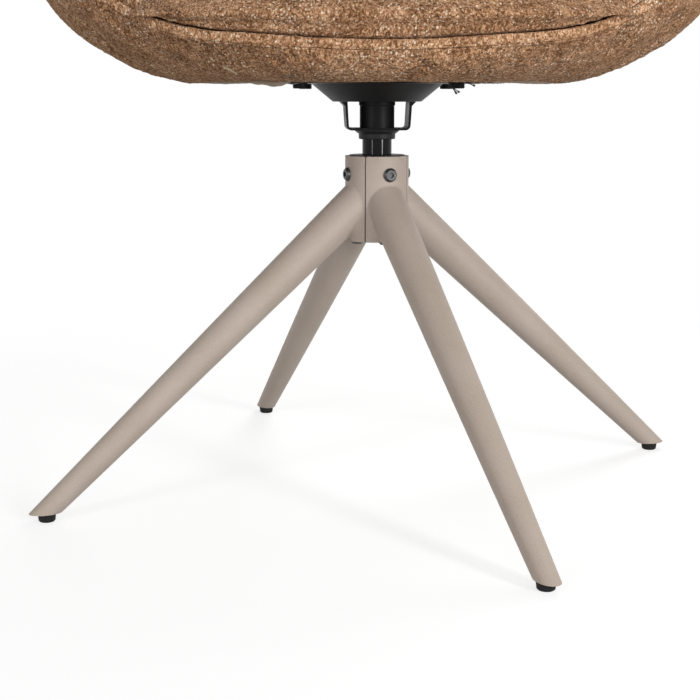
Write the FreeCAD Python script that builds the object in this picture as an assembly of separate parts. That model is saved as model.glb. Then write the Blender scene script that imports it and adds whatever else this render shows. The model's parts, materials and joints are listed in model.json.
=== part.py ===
import FreeCAD, Part
import math
import os

os.makedirs("parts", exist_ok=True)

# A swivel dining armchair in millimetres. The origin is on the floor under the swivel
# axis, +Z is up, the seat looks along -Y and +X is on the viewer's right.

# Overall base
glide_circle_radius = 330.0
base_yaw = 23.0
glide_height = 7.7
leg_end_height = 8.0

# Legs: a tapered tube whose axis runs from the hub to the foot
leg_axis_foot_radius = 331.4
leg_axis_hub_radius = 31.0
leg_axis_hub_height = 273.5
leg_radius_foot = 10.25
leg_radius_middle = 14.85
leg_radius_hub = 18.6
leg_wall = 2.0
leg_weld_radius = 3.5
leg_weld_least_rise = 8.0
foot_plug_depth = 14.0
foot_thread_depth = 7.9

# Hub: four quarter shells around a steel core
hub_radius = 30.7
hub_wall = 4.1
hub_bottom = 245.0
hub_top = 326.3
hub_split = 1.2
hub_corner_radius = 1.8
hub_ledge = 4.5
hub_ledge_inner_radius = 12.0
screw_hole_room = 0.3
core_top = 325.4
core_floor = 262.0
top_disc_thickness = 1.9

# Screws with a button head and a hexagon socket
screw_radius = 4.0
screw_head_radius = 6.6
screw_head_height = 3.0
screw_rim_height = 1.05
screw_crown_radius = 4.75
screw_socket = 5.0
screw_socket_depth = 2.0
screw_length = 11.0
side_screw_height = 309.0
bottom_screw_circle = 20.5

# Post and its bearing
post_radius = 14.2
post_bore_radius = 9.0
post_bore_top = 352.0
post_top = 371.0
stud_radius = 6.0
stud_top = 394.5
race_thickness = 2.0
running_clearance = 0.05
nut_flats = 18.0
nut_height = 10.0
washer_radius = 12.0
washer_thickness = 2.0
washer_gap = 0.3

# Swivel plate: a pressed square plate with a central dish
plate_side = 172.0
plate_corner = 22.0
plate_thickness = 2.5
plate_bottom = 394.5
dish_bottom = 377.5
dish_floor_radius = 42.5
dish_rim_radius = 63.2
dish_bend = 2.2
plate_hole_offset = 71.2
plate_hole_radius = 4.6

# Strap bracket, sleeve and bushes under the dish
strap_half_width = 30.5
strap_lean = 1.2
strap_thickness = 2.2
strap_depth = 36.0
strap_bottom = 350.6
strap_plate = 2.2
strap_bend = 5.0
strap_tab = 4.0
strap_yaw = 3.8
sleeve_radius = 16.65
sleeve_wall = 1.5
sleeve_lip = 0.8
collar_bottom = 342.1
collar_shoulder = 346.9
collar_radius = 17.6
collar_flare_radius = 21.5
bush_outer_radius = 15.1
lower_bush_top = 358.0
upper_bush_bottom = 362.0

# Adjustable glides
glide_top_radius = 8.5
glide_bottom_radius = 7.6
glide_edge = 1.0
glide_ribs = 30
glide_rib_radius = 0.42
glide_rib_margin = 0.3
glide_stud_radius = 4.0
glide_stud_length = 7.6
glide_stud_seat = 2.6

# Seat fixings
bolt_head_height = 5.0
bolt_head_radius = 6.6
bolt_head_round = 1.2
bolt_socket_depth = 2.8
bolt_tip = 410.0
tee_flange_radius = 9.5
tee_flange_thickness = 1.5
tee_barrel_radius = 5.0
tee_barrel_bottom = 401.0

# Seat board and dust cover
board_bottom = 398.0
board_top = 413.0
plate_plan_points = 24
plate_plan_inset = 1.0
dust_cover_thickness = 1.0

# Upholstered bucket, as vertical sections turned about an axis a little behind the origin.
# Each triple gives a radius towards the side, the front and the back.
bucket_axis_y = 10.0
plan_power = 2.3
underside = 393.0
fold_radii = (135.0, 178.0, 126.0)
flat_radii = (160.0, 205.0, 152.0)
wide_radii = (328.0, 250.0, 272.0)
swell_height_front = 30.0
swell_height_side = 152.0
back_lean = 0.16
wall_front = 34.0
wall_side = 62.0
wall_back_extra = 8.0
swell_start_angle = 10.0
swell_full_angle = 70.0
ridge_start_angle = 35.0
ridge_full_angle = 90.0
rim_heights = (
    (0.0, 422.6),
    (25.0, 428.0),
    (37.0, 434.0),
    (47.0, 447.0),
    (53.0, 460.0),
    (62.0, 490.0),
    (72.0, 532.0),
    (84.0, 580.0),
    (98.0, 621.0),
    (115.0, 664.0),
    (130.0, 714.0),
    (145.0, 766.0),
    (160.0, 800.0),
    (180.0, 812.0),
)
keel_depth_front = 5.0
keel_depth_side = 25.0
welt_half_front = 4.1
welt_half_side = 6.0
welt_thickness = 3.0
frame_cover = 0.42
frame_core = 0.58
frame_thickness_low = 10.0
frame_edge_drop = 3.0
shoulder_roll_front = 5.0
shoulder_least = 4.0
roll_bulge_front = 0.3
roll_fullness_front = 0.25
seam_gap = 0.5

# Pads on the inside of the wall: two arms and a back. An arm's front end is thin.
arm_pad_start = 41.0
arm_pad_full = 58.0
back_pad_start = 118.0
panel_gap = 0.15
pad_gap = 1.6
pad_foot_gap = 6.5
pad_thin_share = 0.9
inner_pad_bottom = 446.0
inner_pad_least_height = 10.0
cushion_narrow_start = 28.0
cushion_narrow_end = 40.0

# Cushion: height of each level, and the most that it reaches to the side, front and back.
# It also keeps clear of the wall and the inner pad around it.
cushion_levels = (
    (413.3, (184.0, 208.0, 138.0)),
    (421.0, (214.0, 228.0, 170.0)),
    (429.0, (240.0, 244.0, 190.0)),
    (440.0, (252.0, 246.0, 200.0)),
    (453.0, (258.0, 246.0, 206.0)),
    (466.0, (252.0, 236.0, 198.0)),
    (476.0, (224.0, 206.0, 165.0)),
    (481.0, (140.0, 122.0, 90.0)),
)
cushion_step = 10
cushion_gap = 3.0


def vec(x, y, z):
    return FreeCAD.Vector(x, y, z)


def turned(shape, degrees):
    """A copy of the shape, turned about the swivel axis."""
    copy = shape.copy()
    copy.rotate(vec(0, 0, 0), vec(0, 0, 1), degrees)
    return copy


def drum(radius, bottom, top, x=0.0, y=0.0):
    """An upright cylinder between two heights."""
    return Part.makeCylinder(radius, top - bottom, vec(x, y, bottom), vec(0, 0, 1))


def ring(outer, inner, bottom, top):
    return drum(outer, bottom, top).cut(drum(inner, bottom - 1, top + 1))


def face_of(points):
    """A flat face with straight edges through the points."""
    return Part.Face(Part.makePolygon(points + [points[0]]))


def revolved(profile):
    """A full turn of a profile of (radius, height) points about the swivel axis."""
    face = face_of([vec(r, 0, z) for r, z in profile])
    return face.revolve(vec(0, 0, 0), vec(0, 0, 1), 360)


def hexagon_prism(flats, bottom, top, x=0.0, y=0.0):
    reach = flats / math.sqrt(3)
    angles = [math.radians(60 * i) for i in range(6)]
    points = [vec(x + reach * math.cos(a), y + reach * math.sin(a), bottom) for a in angles]
    return face_of(points).extrude(vec(0, 0, top - bottom))


def save(shape, name):
    if not shape.isValid():
        print("not valid:", name)
    if min(solid.Volume for solid in shape.Solids) <= 0:
        print("inside out:", name)
    shape.exportStep("parts/" + name + ".step")
    box = shape.optimalBoundingBox(False)
    print(name, len(shape.Solids), "solids", round(shape.Volume / 1000.0, 2), "cm3",
          [round(v, 1) for v in (box.XMin, box.YMin, box.ZMin, box.XMax, box.YMax, box.ZMax)])


# The base

leg_names = ("leg_front_right", "leg_front_left", "leg_back_left", "leg_back_right")
corner_names = ("front_right", "front_left", "back_left", "back_right")


def leg_turn(index):
    """Angle from +X to a leg, in degrees, counted anticlockwise from above."""
    return base_yaw - 90.0 - 90.0 * index


def leg_direction():
    hub = vec(leg_axis_hub_radius, 0, leg_axis_hub_height)
    foot = vec(leg_axis_foot_radius, 0, leg_end_height)
    return hub, (foot - hub).normalize(), (foot - hub).Length


def tapered_rod(inset, start, end):
    """The leg's outer form made smaller by the inset, as a turned solid along its axis."""
    hub, direction, length = leg_direction()

    def radius_at(distance):
        share = distance / length
        bow = leg_radius_middle - (leg_radius_hub + leg_radius_foot) / 2.0
        straight = leg_radius_hub + (leg_radius_foot - leg_radius_hub) * share
        return straight + 4.0 * bow * share * (1.0 - share) - inset

    def at(distance, radius):
        return vec(radius, 0, distance)

    middle = (start + end) / 2.0
    side = Part.Arc(at(start, radius_at(start)), at(middle, radius_at(middle)), at(end, radius_at(end)))
    edges = [
        Part.LineSegment(at(start, 0), at(start, radius_at(start))).toShape(),
        side.toShape(),
        Part.LineSegment(at(end, radius_at(end)), at(end, 0)).toShape(),
        Part.LineSegment(at(end, 0), at(start, 0)).toShape(),
    ]
    rod = Part.Face(Part.Wire(edges)).revolve(vec(0, 0, 0), vec(0, 0, 1), 360)
    rod.Placement = FreeCAD.Placement(hub, FreeCAD.Rotation(vec(0, 0, 1), direction))
    return rod


def above(height):
    """A large block whose lower face is at the height."""
    return Part.makeBox(900, 900, 500, vec(-450, -450, height))


def quarter_wedge(margin):
    """A quarter of space about +X, its two faces moved inwards by the margin."""
    reach = 80.0
    start = margin * math.sqrt(2)
    points = [vec(start, 0, 200), vec(start + reach, -reach, 200), vec(start + reach, reach, 200)]
    return face_of(points).extrude(vec(0, 0, 200))


def hub_quarter():
    """One quarter shell of the hub with the ledge that its lower screw goes through."""
    inner = hub_radius - hub_wall
    shell = ring(hub_radius, inner, hub_bottom, hub_top)
    ledge = ring(inner + 1, hub_ledge_inner_radius, hub_bottom, hub_bottom + hub_ledge)
    quarter = shell.fuse(ledge).common(quarter_wedge(hub_split / 2.0))
    quarter = quarter.removeSplitter()
    corners = []
    for edge in quarter.Edges:
        ends = [v.Point for v in edge.Vertexes]
        on_top = all(abs(p.z - hub_top) < 0.01 for p in ends)
        if on_top and edge.Length < hub_wall * 1.5:
            corners.append(edge)
    return quarter.makeFillet(hub_corner_radius, corners)


def weld_edges(shape):
    """The edges where the tube meets the outside of the hub."""
    found = []
    for edge in shape.Edges:
        points = edge.discretize(9)
        on_hub = all(abs(math.hypot(p.x, p.y) - hub_radius) < 0.05 for p in points)
        low = min(p.z for p in points)
        high = max(p.z for p in points)
        if on_hub and high - low > leg_weld_least_rise and low > hub_bottom and high < hub_top:
            found.append(edge)
    return found


def make_leg():
    length = leg_direction()[2]
    core_clear = drum(hub_radius - hub_wall, hub_bottom - 60, hub_top + 60)
    tube = tapered_rod(0.0, -20.0, length + 25.0).cut(core_clear).common(above(leg_end_height))
    tube = max(tube.Solids, key=lambda solid: solid.Volume)
    leg = tube.fuse(hub_quarter()).removeSplitter()
    leg = leg.makeFillet(leg_weld_radius, weld_edges(leg))
    bore = tapered_rod(leg_wall, 6.0, length + 25.0).cut(drum(hub_radius - 1.0, 200, 360))
    leg = leg.cut(bore)
    hole_radius = screw_radius + screw_hole_room
    side_hole = Part.makeCylinder(hole_radius, 20, vec(20, 0, side_screw_height), vec(1, 0, 0))
    ledge_hole = drum(hole_radius, hub_bottom - 1, hub_bottom + hub_ledge + 1, bottom_screw_circle)
    leg = leg.cut(side_hole).cut(ledge_hole)
    return max(leg.Solids, key=lambda solid: solid.Volume)


def make_foot_plug():
    """The nut plug that closes the foot of a leg, flush with its end."""
    length = leg_direction()[2]
    inside = tapered_rod(leg_wall, length - 60.0, length + 25.0)
    slab = Part.makeBox(80, 80, foot_plug_depth, vec(glide_circle_radius - 40, -40, leg_end_height))
    plug = inside.common(slab)
    hole_top = leg_end_height + foot_thread_depth
    hole = drum(glide_stud_radius + running_clearance, 0, hole_top, glide_circle_radius)
    return plug.cut(hole)


def make_screw():
    """A button head screw that stands on z = 0 with its shank below."""
    head = revolved([
        (0, 0),
        (screw_head_radius, 0),
        (screw_head_radius, screw_rim_height),
        (screw_crown_radius, screw_head_height),
        (0, screw_head_height),
    ])
    shank = drum(screw_radius, -screw_length, 0)
    socket = hexagon_prism(screw_socket, screw_head_height - screw_socket_depth, screw_head_height + 1.0)
    return head.fuse(shank).removeSplitter().cut(socket)


def make_base():
    leg = make_leg()
    plug = make_foot_plug()
    plugs = []
    side_screws = []
    bottom_screws = []
    core = drum(hub_radius - hub_wall, hub_bottom + hub_ledge, core_top)
    core = core.cut(drum(post_radius, core_floor, core_top + 1))
    for index, name in enumerate(leg_names):
        turn = leg_turn(index)
        save(turned(leg, turn), name)
        plugs.append(turned(plug, turn))

        side = make_screw()
        side.Placement = FreeCAD.Placement(
            vec(hub_radius, 0, side_screw_height), FreeCAD.Rotation(vec(0, 0, 1), vec(1, 0, 0)))
        side_screws.append(turned(side, turn))

        low = make_screw()
        low.Placement = FreeCAD.Placement(
            vec(bottom_screw_circle, 0, hub_bottom), FreeCAD.Rotation(vec(0, 0, 1), vec(0, 0, -1)))
        bottom_screws.append(turned(low, turn))
        core = core.cut(side_screws[-1]).cut(bottom_screws[-1])
    save(Part.makeCompound(plugs), "foot_plugs")
    save(Part.makeCompound(side_screws), "hub_side_screws")
    save(Part.makeCompound(bottom_screws), "hub_bottom_screws")
    save(core, "hub_core")
    save(ring(hub_radius - hub_wall - 0.2, post_radius + 0.2, core_top, core_top + top_disc_thickness),
         "hub_top_disc")

    post = drum(post_radius, core_floor, post_top).fuse(drum(stud_radius, post_top - 1, stud_top))
    save(post.removeSplitter().cut(drum(post_bore_radius, core_floor - 1, post_bore_top)), "post")
    save(ring(post_radius - 0.3, stud_radius, post_top, post_top + race_thickness), "bearing_race")
    floor = dish_bottom + plate_thickness + washer_gap
    save(ring(washer_radius, stud_radius, floor, floor + washer_thickness), "retaining_washer")
    nut_bottom = floor + washer_thickness
    nut = hexagon_prism(nut_flats, nut_bottom, nut_bottom + nut_height)
    save(nut.cut(drum(stud_radius, nut_bottom - 1, nut_bottom + nut_height + 1)), "retaining_nut")


def make_glides():
    """Each glide is a threaded stud and a ribbed foot that turns with it."""
    foot = revolved([
        (0, 0),
        (glide_bottom_radius - glide_edge, 0),
        (glide_bottom_radius, glide_edge),
        (glide_top_radius, glide_height),
        (0, glide_height),
    ])
    ribs = []
    slope = (glide_top_radius - glide_bottom_radius) / (glide_height - glide_edge)
    for i in range(glide_ribs):
        rib = Part.makeCylinder(
            glide_rib_radius, glide_height - glide_edge - 2.0 * glide_rib_margin,
            vec(glide_bottom_radius, 0, glide_edge + glide_rib_margin), vec(slope, 0, 1))
        ribs.append(turned(rib, 360.0 * i / glide_ribs))
    foot = foot.cut(Part.makeCompound(ribs))
    foot = foot.cut(drum(glide_stud_radius + running_clearance, glide_stud_seat, 20))
    stud = drum(glide_stud_radius, glide_stud_seat, glide_height + glide_stud_length)
    for index, corner in enumerate(corner_names):
        turn = leg_turn(index)
        for shape, name in ((foot, "glide_foot_"), (stud, "glide_stud_")):
            placed = shape.copy()
            placed.translate(vec(glide_circle_radius, 0, 0))
            save(turned(placed, turn), name + corner)


# The swivel head under the seat

def rounded_square(side, corner, bottom, top):
    block = Part.makeBox(side, side, top - bottom, vec(-side / 2.0, -side / 2.0, bottom))
    upright = [e for e in block.Edges if abs(e.Vertexes[0].Point.z - e.Vertexes[1].Point.z) > 0.1]
    return block.makeFillet(corner, upright)


def plate_corners():
    offset = plate_hole_offset
    return [(sx * offset, sy * offset) for sx in (-1, 1) for sy in (-1, 1)]


def make_swivel_plate():
    plate_top = plate_bottom + plate_thickness
    wall = plate_thickness * 0.5
    dish = revolved([
        (stud_radius + 1.0, dish_bottom),
        (dish_floor_radius, dish_bottom),
        (dish_rim_radius, plate_bottom),
        (dish_rim_radius + 10.0, plate_bottom),
        (dish_rim_radius + 10.0, plate_top),
        (dish_rim_radius - wall, plate_top),
        (dish_floor_radius - wall, dish_bottom + plate_thickness),
        (stud_radius + 1.0, dish_bottom + plate_thickness),
    ])
    bends = []
    for edge in dish.Edges:
        curve = edge.Curve
        if curve.TypeId == "Part::GeomCircle" and len(edge.Vertexes) == 1:
            if dish_floor_radius - 2.0 < curve.Radius < dish_rim_radius + 1.0:
                bends.append(edge)
    dish = dish.makeFillet(dish_bend, bends)
    square = rounded_square(plate_side, plate_corner, plate_bottom, plate_top)
    plate = square.cut(drum(dish_rim_radius + 8.0, plate_bottom - 1, plate_top + 1)).fuse(dish)
    plate = plate.removeSplitter()
    for x, y in plate_corners():
        plate = plate.cut(drum(plate_hole_radius, plate_bottom - 1, plate_top + 1, x, y))
    return plate


def make_strap():
    """The U shaped strap that holds the lower bush, bent with round corners."""
    top = dish_bottom

    def outline(inset, tab):
        half = strap_half_width - inset
        bottom = strap_bottom + (strap_plate if inset else 0.0)
        bend = strap_bend - inset
        corner = bend * (1.0 - math.sqrt(0.5))
        lean = half + strap_lean
        edges = []
        for side in (-1, 1):
            turn = Part.Arc(
                vec(side * half, 0, bottom + bend),
                vec(side * (half - corner), 0, bottom + corner),
                vec(side * (half - bend), 0, bottom))
            edges.append(turn.toShape())
            edges.append(Part.makeLine(vec(side * half, 0, bottom + bend), vec(side * lean, 0, top - tab)))
            if tab:
                edges.append(Part.makeLine(vec(side * lean, 0, top - tab), vec(side * (lean + tab), 0, top)))
        edges.append(Part.makeLine(vec(-(half - bend), 0, bottom), vec(half - bend, 0, bottom)))
        edges.append(Part.makeLine(vec(-(lean + tab), 0, top), vec(lean + tab, 0, top)))
        face = Part.Face(Part.Wire(Part.__sortEdges__(edges)))
        solid = face.extrude(vec(0, strap_depth, 0))
        solid.translate(vec(0, -strap_depth / 2.0, 0))
        return solid

    strap = outline(0.0, strap_tab).cut(outline(strap_thickness, 0.0))
    strap = strap.cut(drum(bush_outer_radius, strap_bottom - 1, strap_bottom + strap_plate + 1))
    return turned(strap, strap_yaw)


def make_swivel_head():
    save(make_swivel_plate(), "swivel_plate")
    save(make_strap(), "strap_bracket")
    inside = sleeve_radius - sleeve_wall
    bottom = strap_bottom + strap_plate
    sleeve = revolved([
        (inside, bottom),
        (sleeve_radius, bottom),
        (sleeve_radius, dish_bottom - 4.0),
        (sleeve_radius + sleeve_lip, dish_bottom - 3.0),
        (sleeve_radius + sleeve_lip, dish_bottom),
        (inside, dish_bottom),
    ])
    save(sleeve, "bearing_sleeve")
    bore = post_radius + running_clearance
    lower = revolved([
        (bore, collar_bottom),
        (collar_radius - 0.8, collar_bottom),
        (collar_radius, collar_bottom + 0.8),
        (collar_radius, collar_shoulder),
        (collar_flare_radius, strap_bottom - 0.6),
        (collar_flare_radius, strap_bottom),
        (bush_outer_radius, strap_bottom),
        (bush_outer_radius, lower_bush_top),
        (bore, lower_bush_top),
    ])
    save(lower, "lower_bush")
    save(ring(bush_outer_radius, bore, upper_bush_bottom, post_top), "upper_bush")
    save(ring(bush_outer_radius - 0.1, stud_radius + 1.0, post_top + race_thickness, dish_bottom),
         "thrust_washer")

    bolts = []
    nuts = []
    for x, y in plate_corners():
        head = drum(bolt_head_radius, plate_bottom - bolt_head_height, plate_bottom, x, y)
        rim = [e for e in head.Edges if e.Vertexes[0].Point.z < plate_bottom - 1 and len(e.Vertexes) == 1]
        head = head.makeFillet(bolt_head_round, rim)
        socket_top = plate_bottom - bolt_head_height + bolt_socket_depth
        socket = hexagon_prism(screw_socket, plate_bottom - bolt_head_height - 1, socket_top, x, y)
        bolts.append(head.fuse(drum(screw_radius, plate_bottom - 1, bolt_tip, x, y)).cut(socket))
        barrel = drum(tee_barrel_radius, tee_barrel_bottom, board_top, x, y)
        flange = drum(tee_flange_radius, board_top - tee_flange_thickness, board_top, x, y)
        nuts.append(barrel.fuse(flange).removeSplitter().cut(drum(screw_radius, 390, 420, x, y)))
    save(Part.makeCompound(bolts), "mounting_bolts")
    save(Part.makeCompound(nuts), "tee_nuts")
    return nuts


# The upholstered bucket

def smooth_step(value):
    x = min(1.0, max(0.0, value))
    return x * x * (3.0 - 2.0 * x)


def plan_radius(radii, angle):
    """Distance from the bucket's axis to a rounded oval, in the direction of the angle."""
    side, front, back = radii
    along = math.cos(math.radians(angle))
    across = abs(math.sin(math.radians(angle)))
    reach = front if along > 0 else back
    total = (across / side) ** plan_power + (abs(along) / reach) ** plan_power
    return total ** (-1.0 / plan_power)


def rim_height(angle):
    """Height of the welt's centre line: a smooth curve through the listed heights."""
    count = len(rim_heights)

    def slope(i):
        if i == 0 or i == count - 1:
            return 0.0
        before = rim_heights[i - 1]
        after = rim_heights[i + 1]
        return (after[1] - before[1]) / (after[0] - before[0])

    for i in range(count - 1):
        start, low = rim_heights[i]
        end, high = rim_heights[i + 1]
        if angle <= end:
            break
    width = end - start
    t = (angle - start) / width
    return (low * (1 + 2 * t) * (1 - t) ** 2 + slope(i) * width * t * (1 - t) ** 2
            + high * t * t * (3 - 2 * t) - slope(i + 1) * width * t * t * (1 - t))


class Section:
    """One vertical section of the bucket's wall, as (radius, height) points."""

    def __init__(self, angle):
        folded = abs((angle + 180.0) % 360.0 - 180.0)
        self.angle = angle
        self.ridge = smooth_step((folded - ridge_start_angle) / (ridge_full_angle - ridge_start_angle))
        swell = smooth_step((folded - swell_start_angle) / (swell_full_angle - swell_start_angle))
        rear = smooth_step((folded - 90.0) / 90.0)
        self.fold = plan_radius(fold_radii, folded)
        self.flat = plan_radius(flat_radii, folded)
        self.wide = plan_radius(wide_radii, folded)
        self.swell = swell_height_front + (swell_height_side - swell_height_front) * swell
        self.lean = back_lean * rear
        self.wall = wall_front + (wall_side - wall_front) * self.ridge + wall_back_extra * rear
        self.rim = rim_height(folded)
        self.welt_half = welt_half_front + (welt_half_side - welt_half_front) * self.ridge

        facing = math.radians(90.0 * self.ridge)
        self.out = (math.cos(facing), math.sin(facing))
        self.along = (-math.sin(facing), math.cos(facing))
        depth = welt_thickness + (self.wall / 2.0 - welt_thickness) * self.ridge
        roll = shoulder_roll_front + (self.wall / 2.0 - shoulder_roll_front) * self.ridge
        self.crest = (self.outer(self.rim) - depth, self.rim)
        self.shoulder_height = self.on_crest(-self.welt_half, 0.0)[1] - roll
        self.keel_depth = keel_depth_front + (keel_depth_side - keel_depth_front) * self.ridge
        self.keel = self.on_crest(0.0, -self.keel_depth)
        self.narrowed = smooth_step(
            (folded - cushion_narrow_start) / (cushion_narrow_end - cushion_narrow_start))
        self.pad_share = pad_thin_share + (1.0 - pad_thin_share) * smooth_step(
            (folded - arm_pad_start) / (arm_pad_full - arm_pad_start))
        self.knee_height = min(underside + self.swell, self.shoulder_height - shoulder_least)
        self.frame_top = self.keel[1] - frame_edge_drop
        self.frame_knee = min(self.knee_height, self.frame_top - frame_edge_drop)

    def outer(self, height):
        """Radius of the outside at a height: a quarter ellipse, then a leaning line."""
        rise = underside + self.swell - height
        if rise <= 0:
            return self.wide - self.lean * rise
        share = min(1.0, rise / self.swell)
        return self.flat + (self.wide - self.flat) * math.sqrt(1.0 - share * share)

    def on_crest(self, along, out):
        return (self.crest[0] + along * self.along[0] + out * self.out[0],
                self.crest[1] + along * self.along[1] + out * self.out[1])

    def layer(self, share, height):
        """Radius of a layer inside the wall: share 0 is the outside, 1 the inside."""
        return self.outer(height) - share * self.wall

    def room_for_cushion(self, height):
        """Largest radius that clears the frame, the cover's edge and the inner pad."""
        open_front = self.keel[0] if height > self.keel[1] else self.layer(frame_core, height)
        beside = self.layer(self.pad_share, height)
        return open_front + (beside - open_front) * self.narrowed - cushion_gap

    def lower_arc(self, share, start_height, end_height):
        """Start, middle and end of a layer's curve from the flat underside upwards."""
        start = (self.flat, start_height)
        end = (self.layer(share, end_height), end_height)
        full = math.acos(min(1.0, max(0.0, (underside + self.swell - end_height) / self.swell)))
        middle_angle = full * 0.5
        across = math.sin(middle_angle) / max(0.001, math.sin(full))
        up = (1.0 - math.cos(middle_angle)) / max(0.001, 1.0 - math.cos(full))
        middle = (start[0] + (end[0] - start[0]) * across, start[1] + (end[1] - start[1]) * up)
        return start, middle, end

    def place(self, point):
        turn = math.radians(self.angle)
        return vec(point[0] * math.sin(turn), bucket_axis_y - point[0] * math.cos(turn), point[1])

    def wire(self, pieces):
        """Edges from a list of two point lines and three point arcs."""
        edges = []
        for piece in pieces:
            points = [self.place(p) for p in piece]
            if len(points) == 2:
                edges.append(Part.makeLine(points[0], points[1]))
            else:
                edges.append(Part.Arc(*points).toShape())
        return Part.Wire(edges)

    def roll(self, start, end):
        """A round shoulder from an upright face to the edge of the welt, fuller on the ridge."""
        middle = ((start[0] + end[0]) / 2.0, (start[1] + end[1]) / 2.0)
        if self.ridge > 0.5:
            corner = (start[0], end[1])
            fullness = 2.0 * math.sqrt(0.5) - 1.0
        else:
            corner = (start[0] + roll_bulge_front, middle[1])
            fullness = roll_fullness_front
        return (start,
                (middle[0] + (corner[0] - middle[0]) * fullness,
                 middle[1] + (corner[1] - middle[1]) * fullness),
                end)

    def cover_wire(self):
        shoulder = (self.outer(self.shoulder_height), self.shoulder_height)
        low = self.lower_arc(0.0, underside, self.knee_height)
        inner = self.lower_arc(frame_cover, board_bottom, self.frame_knee)
        frame_edge = (self.layer(frame_cover, self.frame_top), self.frame_top)
        seam_edge = self.on_crest(-self.welt_half, -seam_gap)
        seam_middle = self.on_crest(-seam_gap, -seam_gap)
        seam_end = self.on_crest(-seam_gap, -self.keel_depth)
        return self.wire([
            ((self.fold, underside), low[0]),
            low,
            (low[2], shoulder),
            self.roll(shoulder, seam_edge),
            (seam_edge, seam_middle),
            (seam_middle, seam_end),
            (seam_end, frame_edge),
            (frame_edge, inner[2]),
            (inner[2], inner[1], inner[0]),
            (inner[0], (self.fold, board_bottom)),
            ((self.fold, board_bottom), (self.fold, underside)),
        ])

    def frame_wire(self):
        knee = self.frame_knee
        outer = self.lower_arc(frame_cover, board_bottom, knee)
        inner = self.lower_arc(frame_core, board_bottom + frame_thickness_low, knee)
        outer_top = (self.layer(frame_cover, self.frame_top), self.frame_top)
        inner_top = (self.layer(frame_core, self.frame_top), self.frame_top)
        keel = self.on_crest(0.0, -self.keel_depth - seam_gap)
        return self.wire([
            outer,
            (outer[2], outer_top),
            (outer_top, keel),
            (keel, inner_top),
            (inner_top, inner[2]),
            (inner[2], inner[1], inner[0]),
            (inner[0], outer[0]),
        ])

    def pad_wire(self):
        """The pad's back follows the frame, its face is the inside of the wall."""
        knee = self.frame_knee
        foot = min(inner_pad_bottom, knee - inner_pad_least_height)
        heights = (foot, (foot + knee) / 2.0, knee)
        seam_edge = self.on_crest(self.welt_half, -pad_gap)
        seam_middle = self.on_crest(pad_gap, -pad_gap)
        seam_end = self.on_crest(pad_gap, pad_gap - self.keel_depth)
        shoulder_height = seam_edge[1] - (self.wall / 2.0) * self.ridge
        shoulder = (self.layer(self.pad_share, shoulder_height), shoulder_height)
        gaps = (pad_foot_gap, (pad_foot_gap + pad_gap) / 2.0, pad_gap)
        back = [(self.layer(frame_core, h) - gap, h) for h, gap in zip(heights, gaps)]
        back_top = (self.layer(frame_core, self.frame_top) - pad_gap, self.frame_top)
        face = [(self.layer(self.pad_share, h), h) for h in heights]
        return self.wire([
            (seam_middle, seam_edge),
            tuple(reversed(self.roll(shoulder, seam_edge))),
            (shoulder, face[2]),
            tuple(reversed(face)),
            (face[0], back[0]),
            tuple(back),
            (back[2], back_top),
            (back_top, seam_end),
            (seam_end, seam_middle),
        ])

    def welt_wire(self):
        corners = [self.on_crest(along * self.welt_half, out * welt_thickness)
                   for along, out in ((-1, 0), (-1, 1), (1, 1), (1, 0))]
        return self.wire([(corners[i], corners[(i + 1) % 4]) for i in range(4)])


section_angles = (0, 14, 27, 38, 47, 55, 64, 74, 85, 97, 112, 130, 150, 168)


def ring_angles():
    half = list(section_angles)
    return half + [180] + [360 - a for a in reversed(half[1:])]


def closed_loft(kind):
    wires = [getattr(Section(angle), kind)() for angle in ring_angles()]
    return Part.makeLoft(wires, True, False, True)


def pad_loft(start, end):
    """One pad panel between two angles, through the same sections as the rest of the wall."""
    angles = [start] + [a for a in ring_angles() if start + 2.0 < a < end - 2.0] + [end]
    wires = [Section(angle).pad_wire() for angle in angles]
    return Part.makeLoft(wires, True, False)


def plan_plate(radii, bottom, top):
    """A flat plate a little inside an oval plan of the bucket."""
    points = []
    for i in range(plate_plan_points):
        angle = 360.0 / plate_plan_points * i
        folded = abs((angle + 180.0) % 360.0 - 180.0)
        reach = plan_radius(radii, folded) - plate_plan_inset
        turn = math.radians(angle)
        points.append(vec(reach * math.sin(turn), bucket_axis_y - reach * math.cos(turn), bottom))
    curve = Part.BSplineCurve()
    curve.interpolate(points, PeriodicFlag=True)
    return Part.Face(Part.Wire(curve.toShape())).extrude(vec(0, 0, top - bottom))


def cushion_wire(height, radii):
    """A closed outline of equal arcs, inside both its own oval and the room it has."""
    points = []
    for angle in range(0, 360, cushion_step):
        section = Section(angle)
        wanted = plan_radius(radii, min(angle, 360 - angle))
        points.append(section.place((min(wanted, section.room_for_cushion(height)), height)))
    points.append(points[0])
    arcs = [Part.Arc(*points[i:i + 3]) for i in range(0, len(points) - 1, 2)]
    return Part.Wire([arc.toShape() for arc in arcs])


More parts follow.
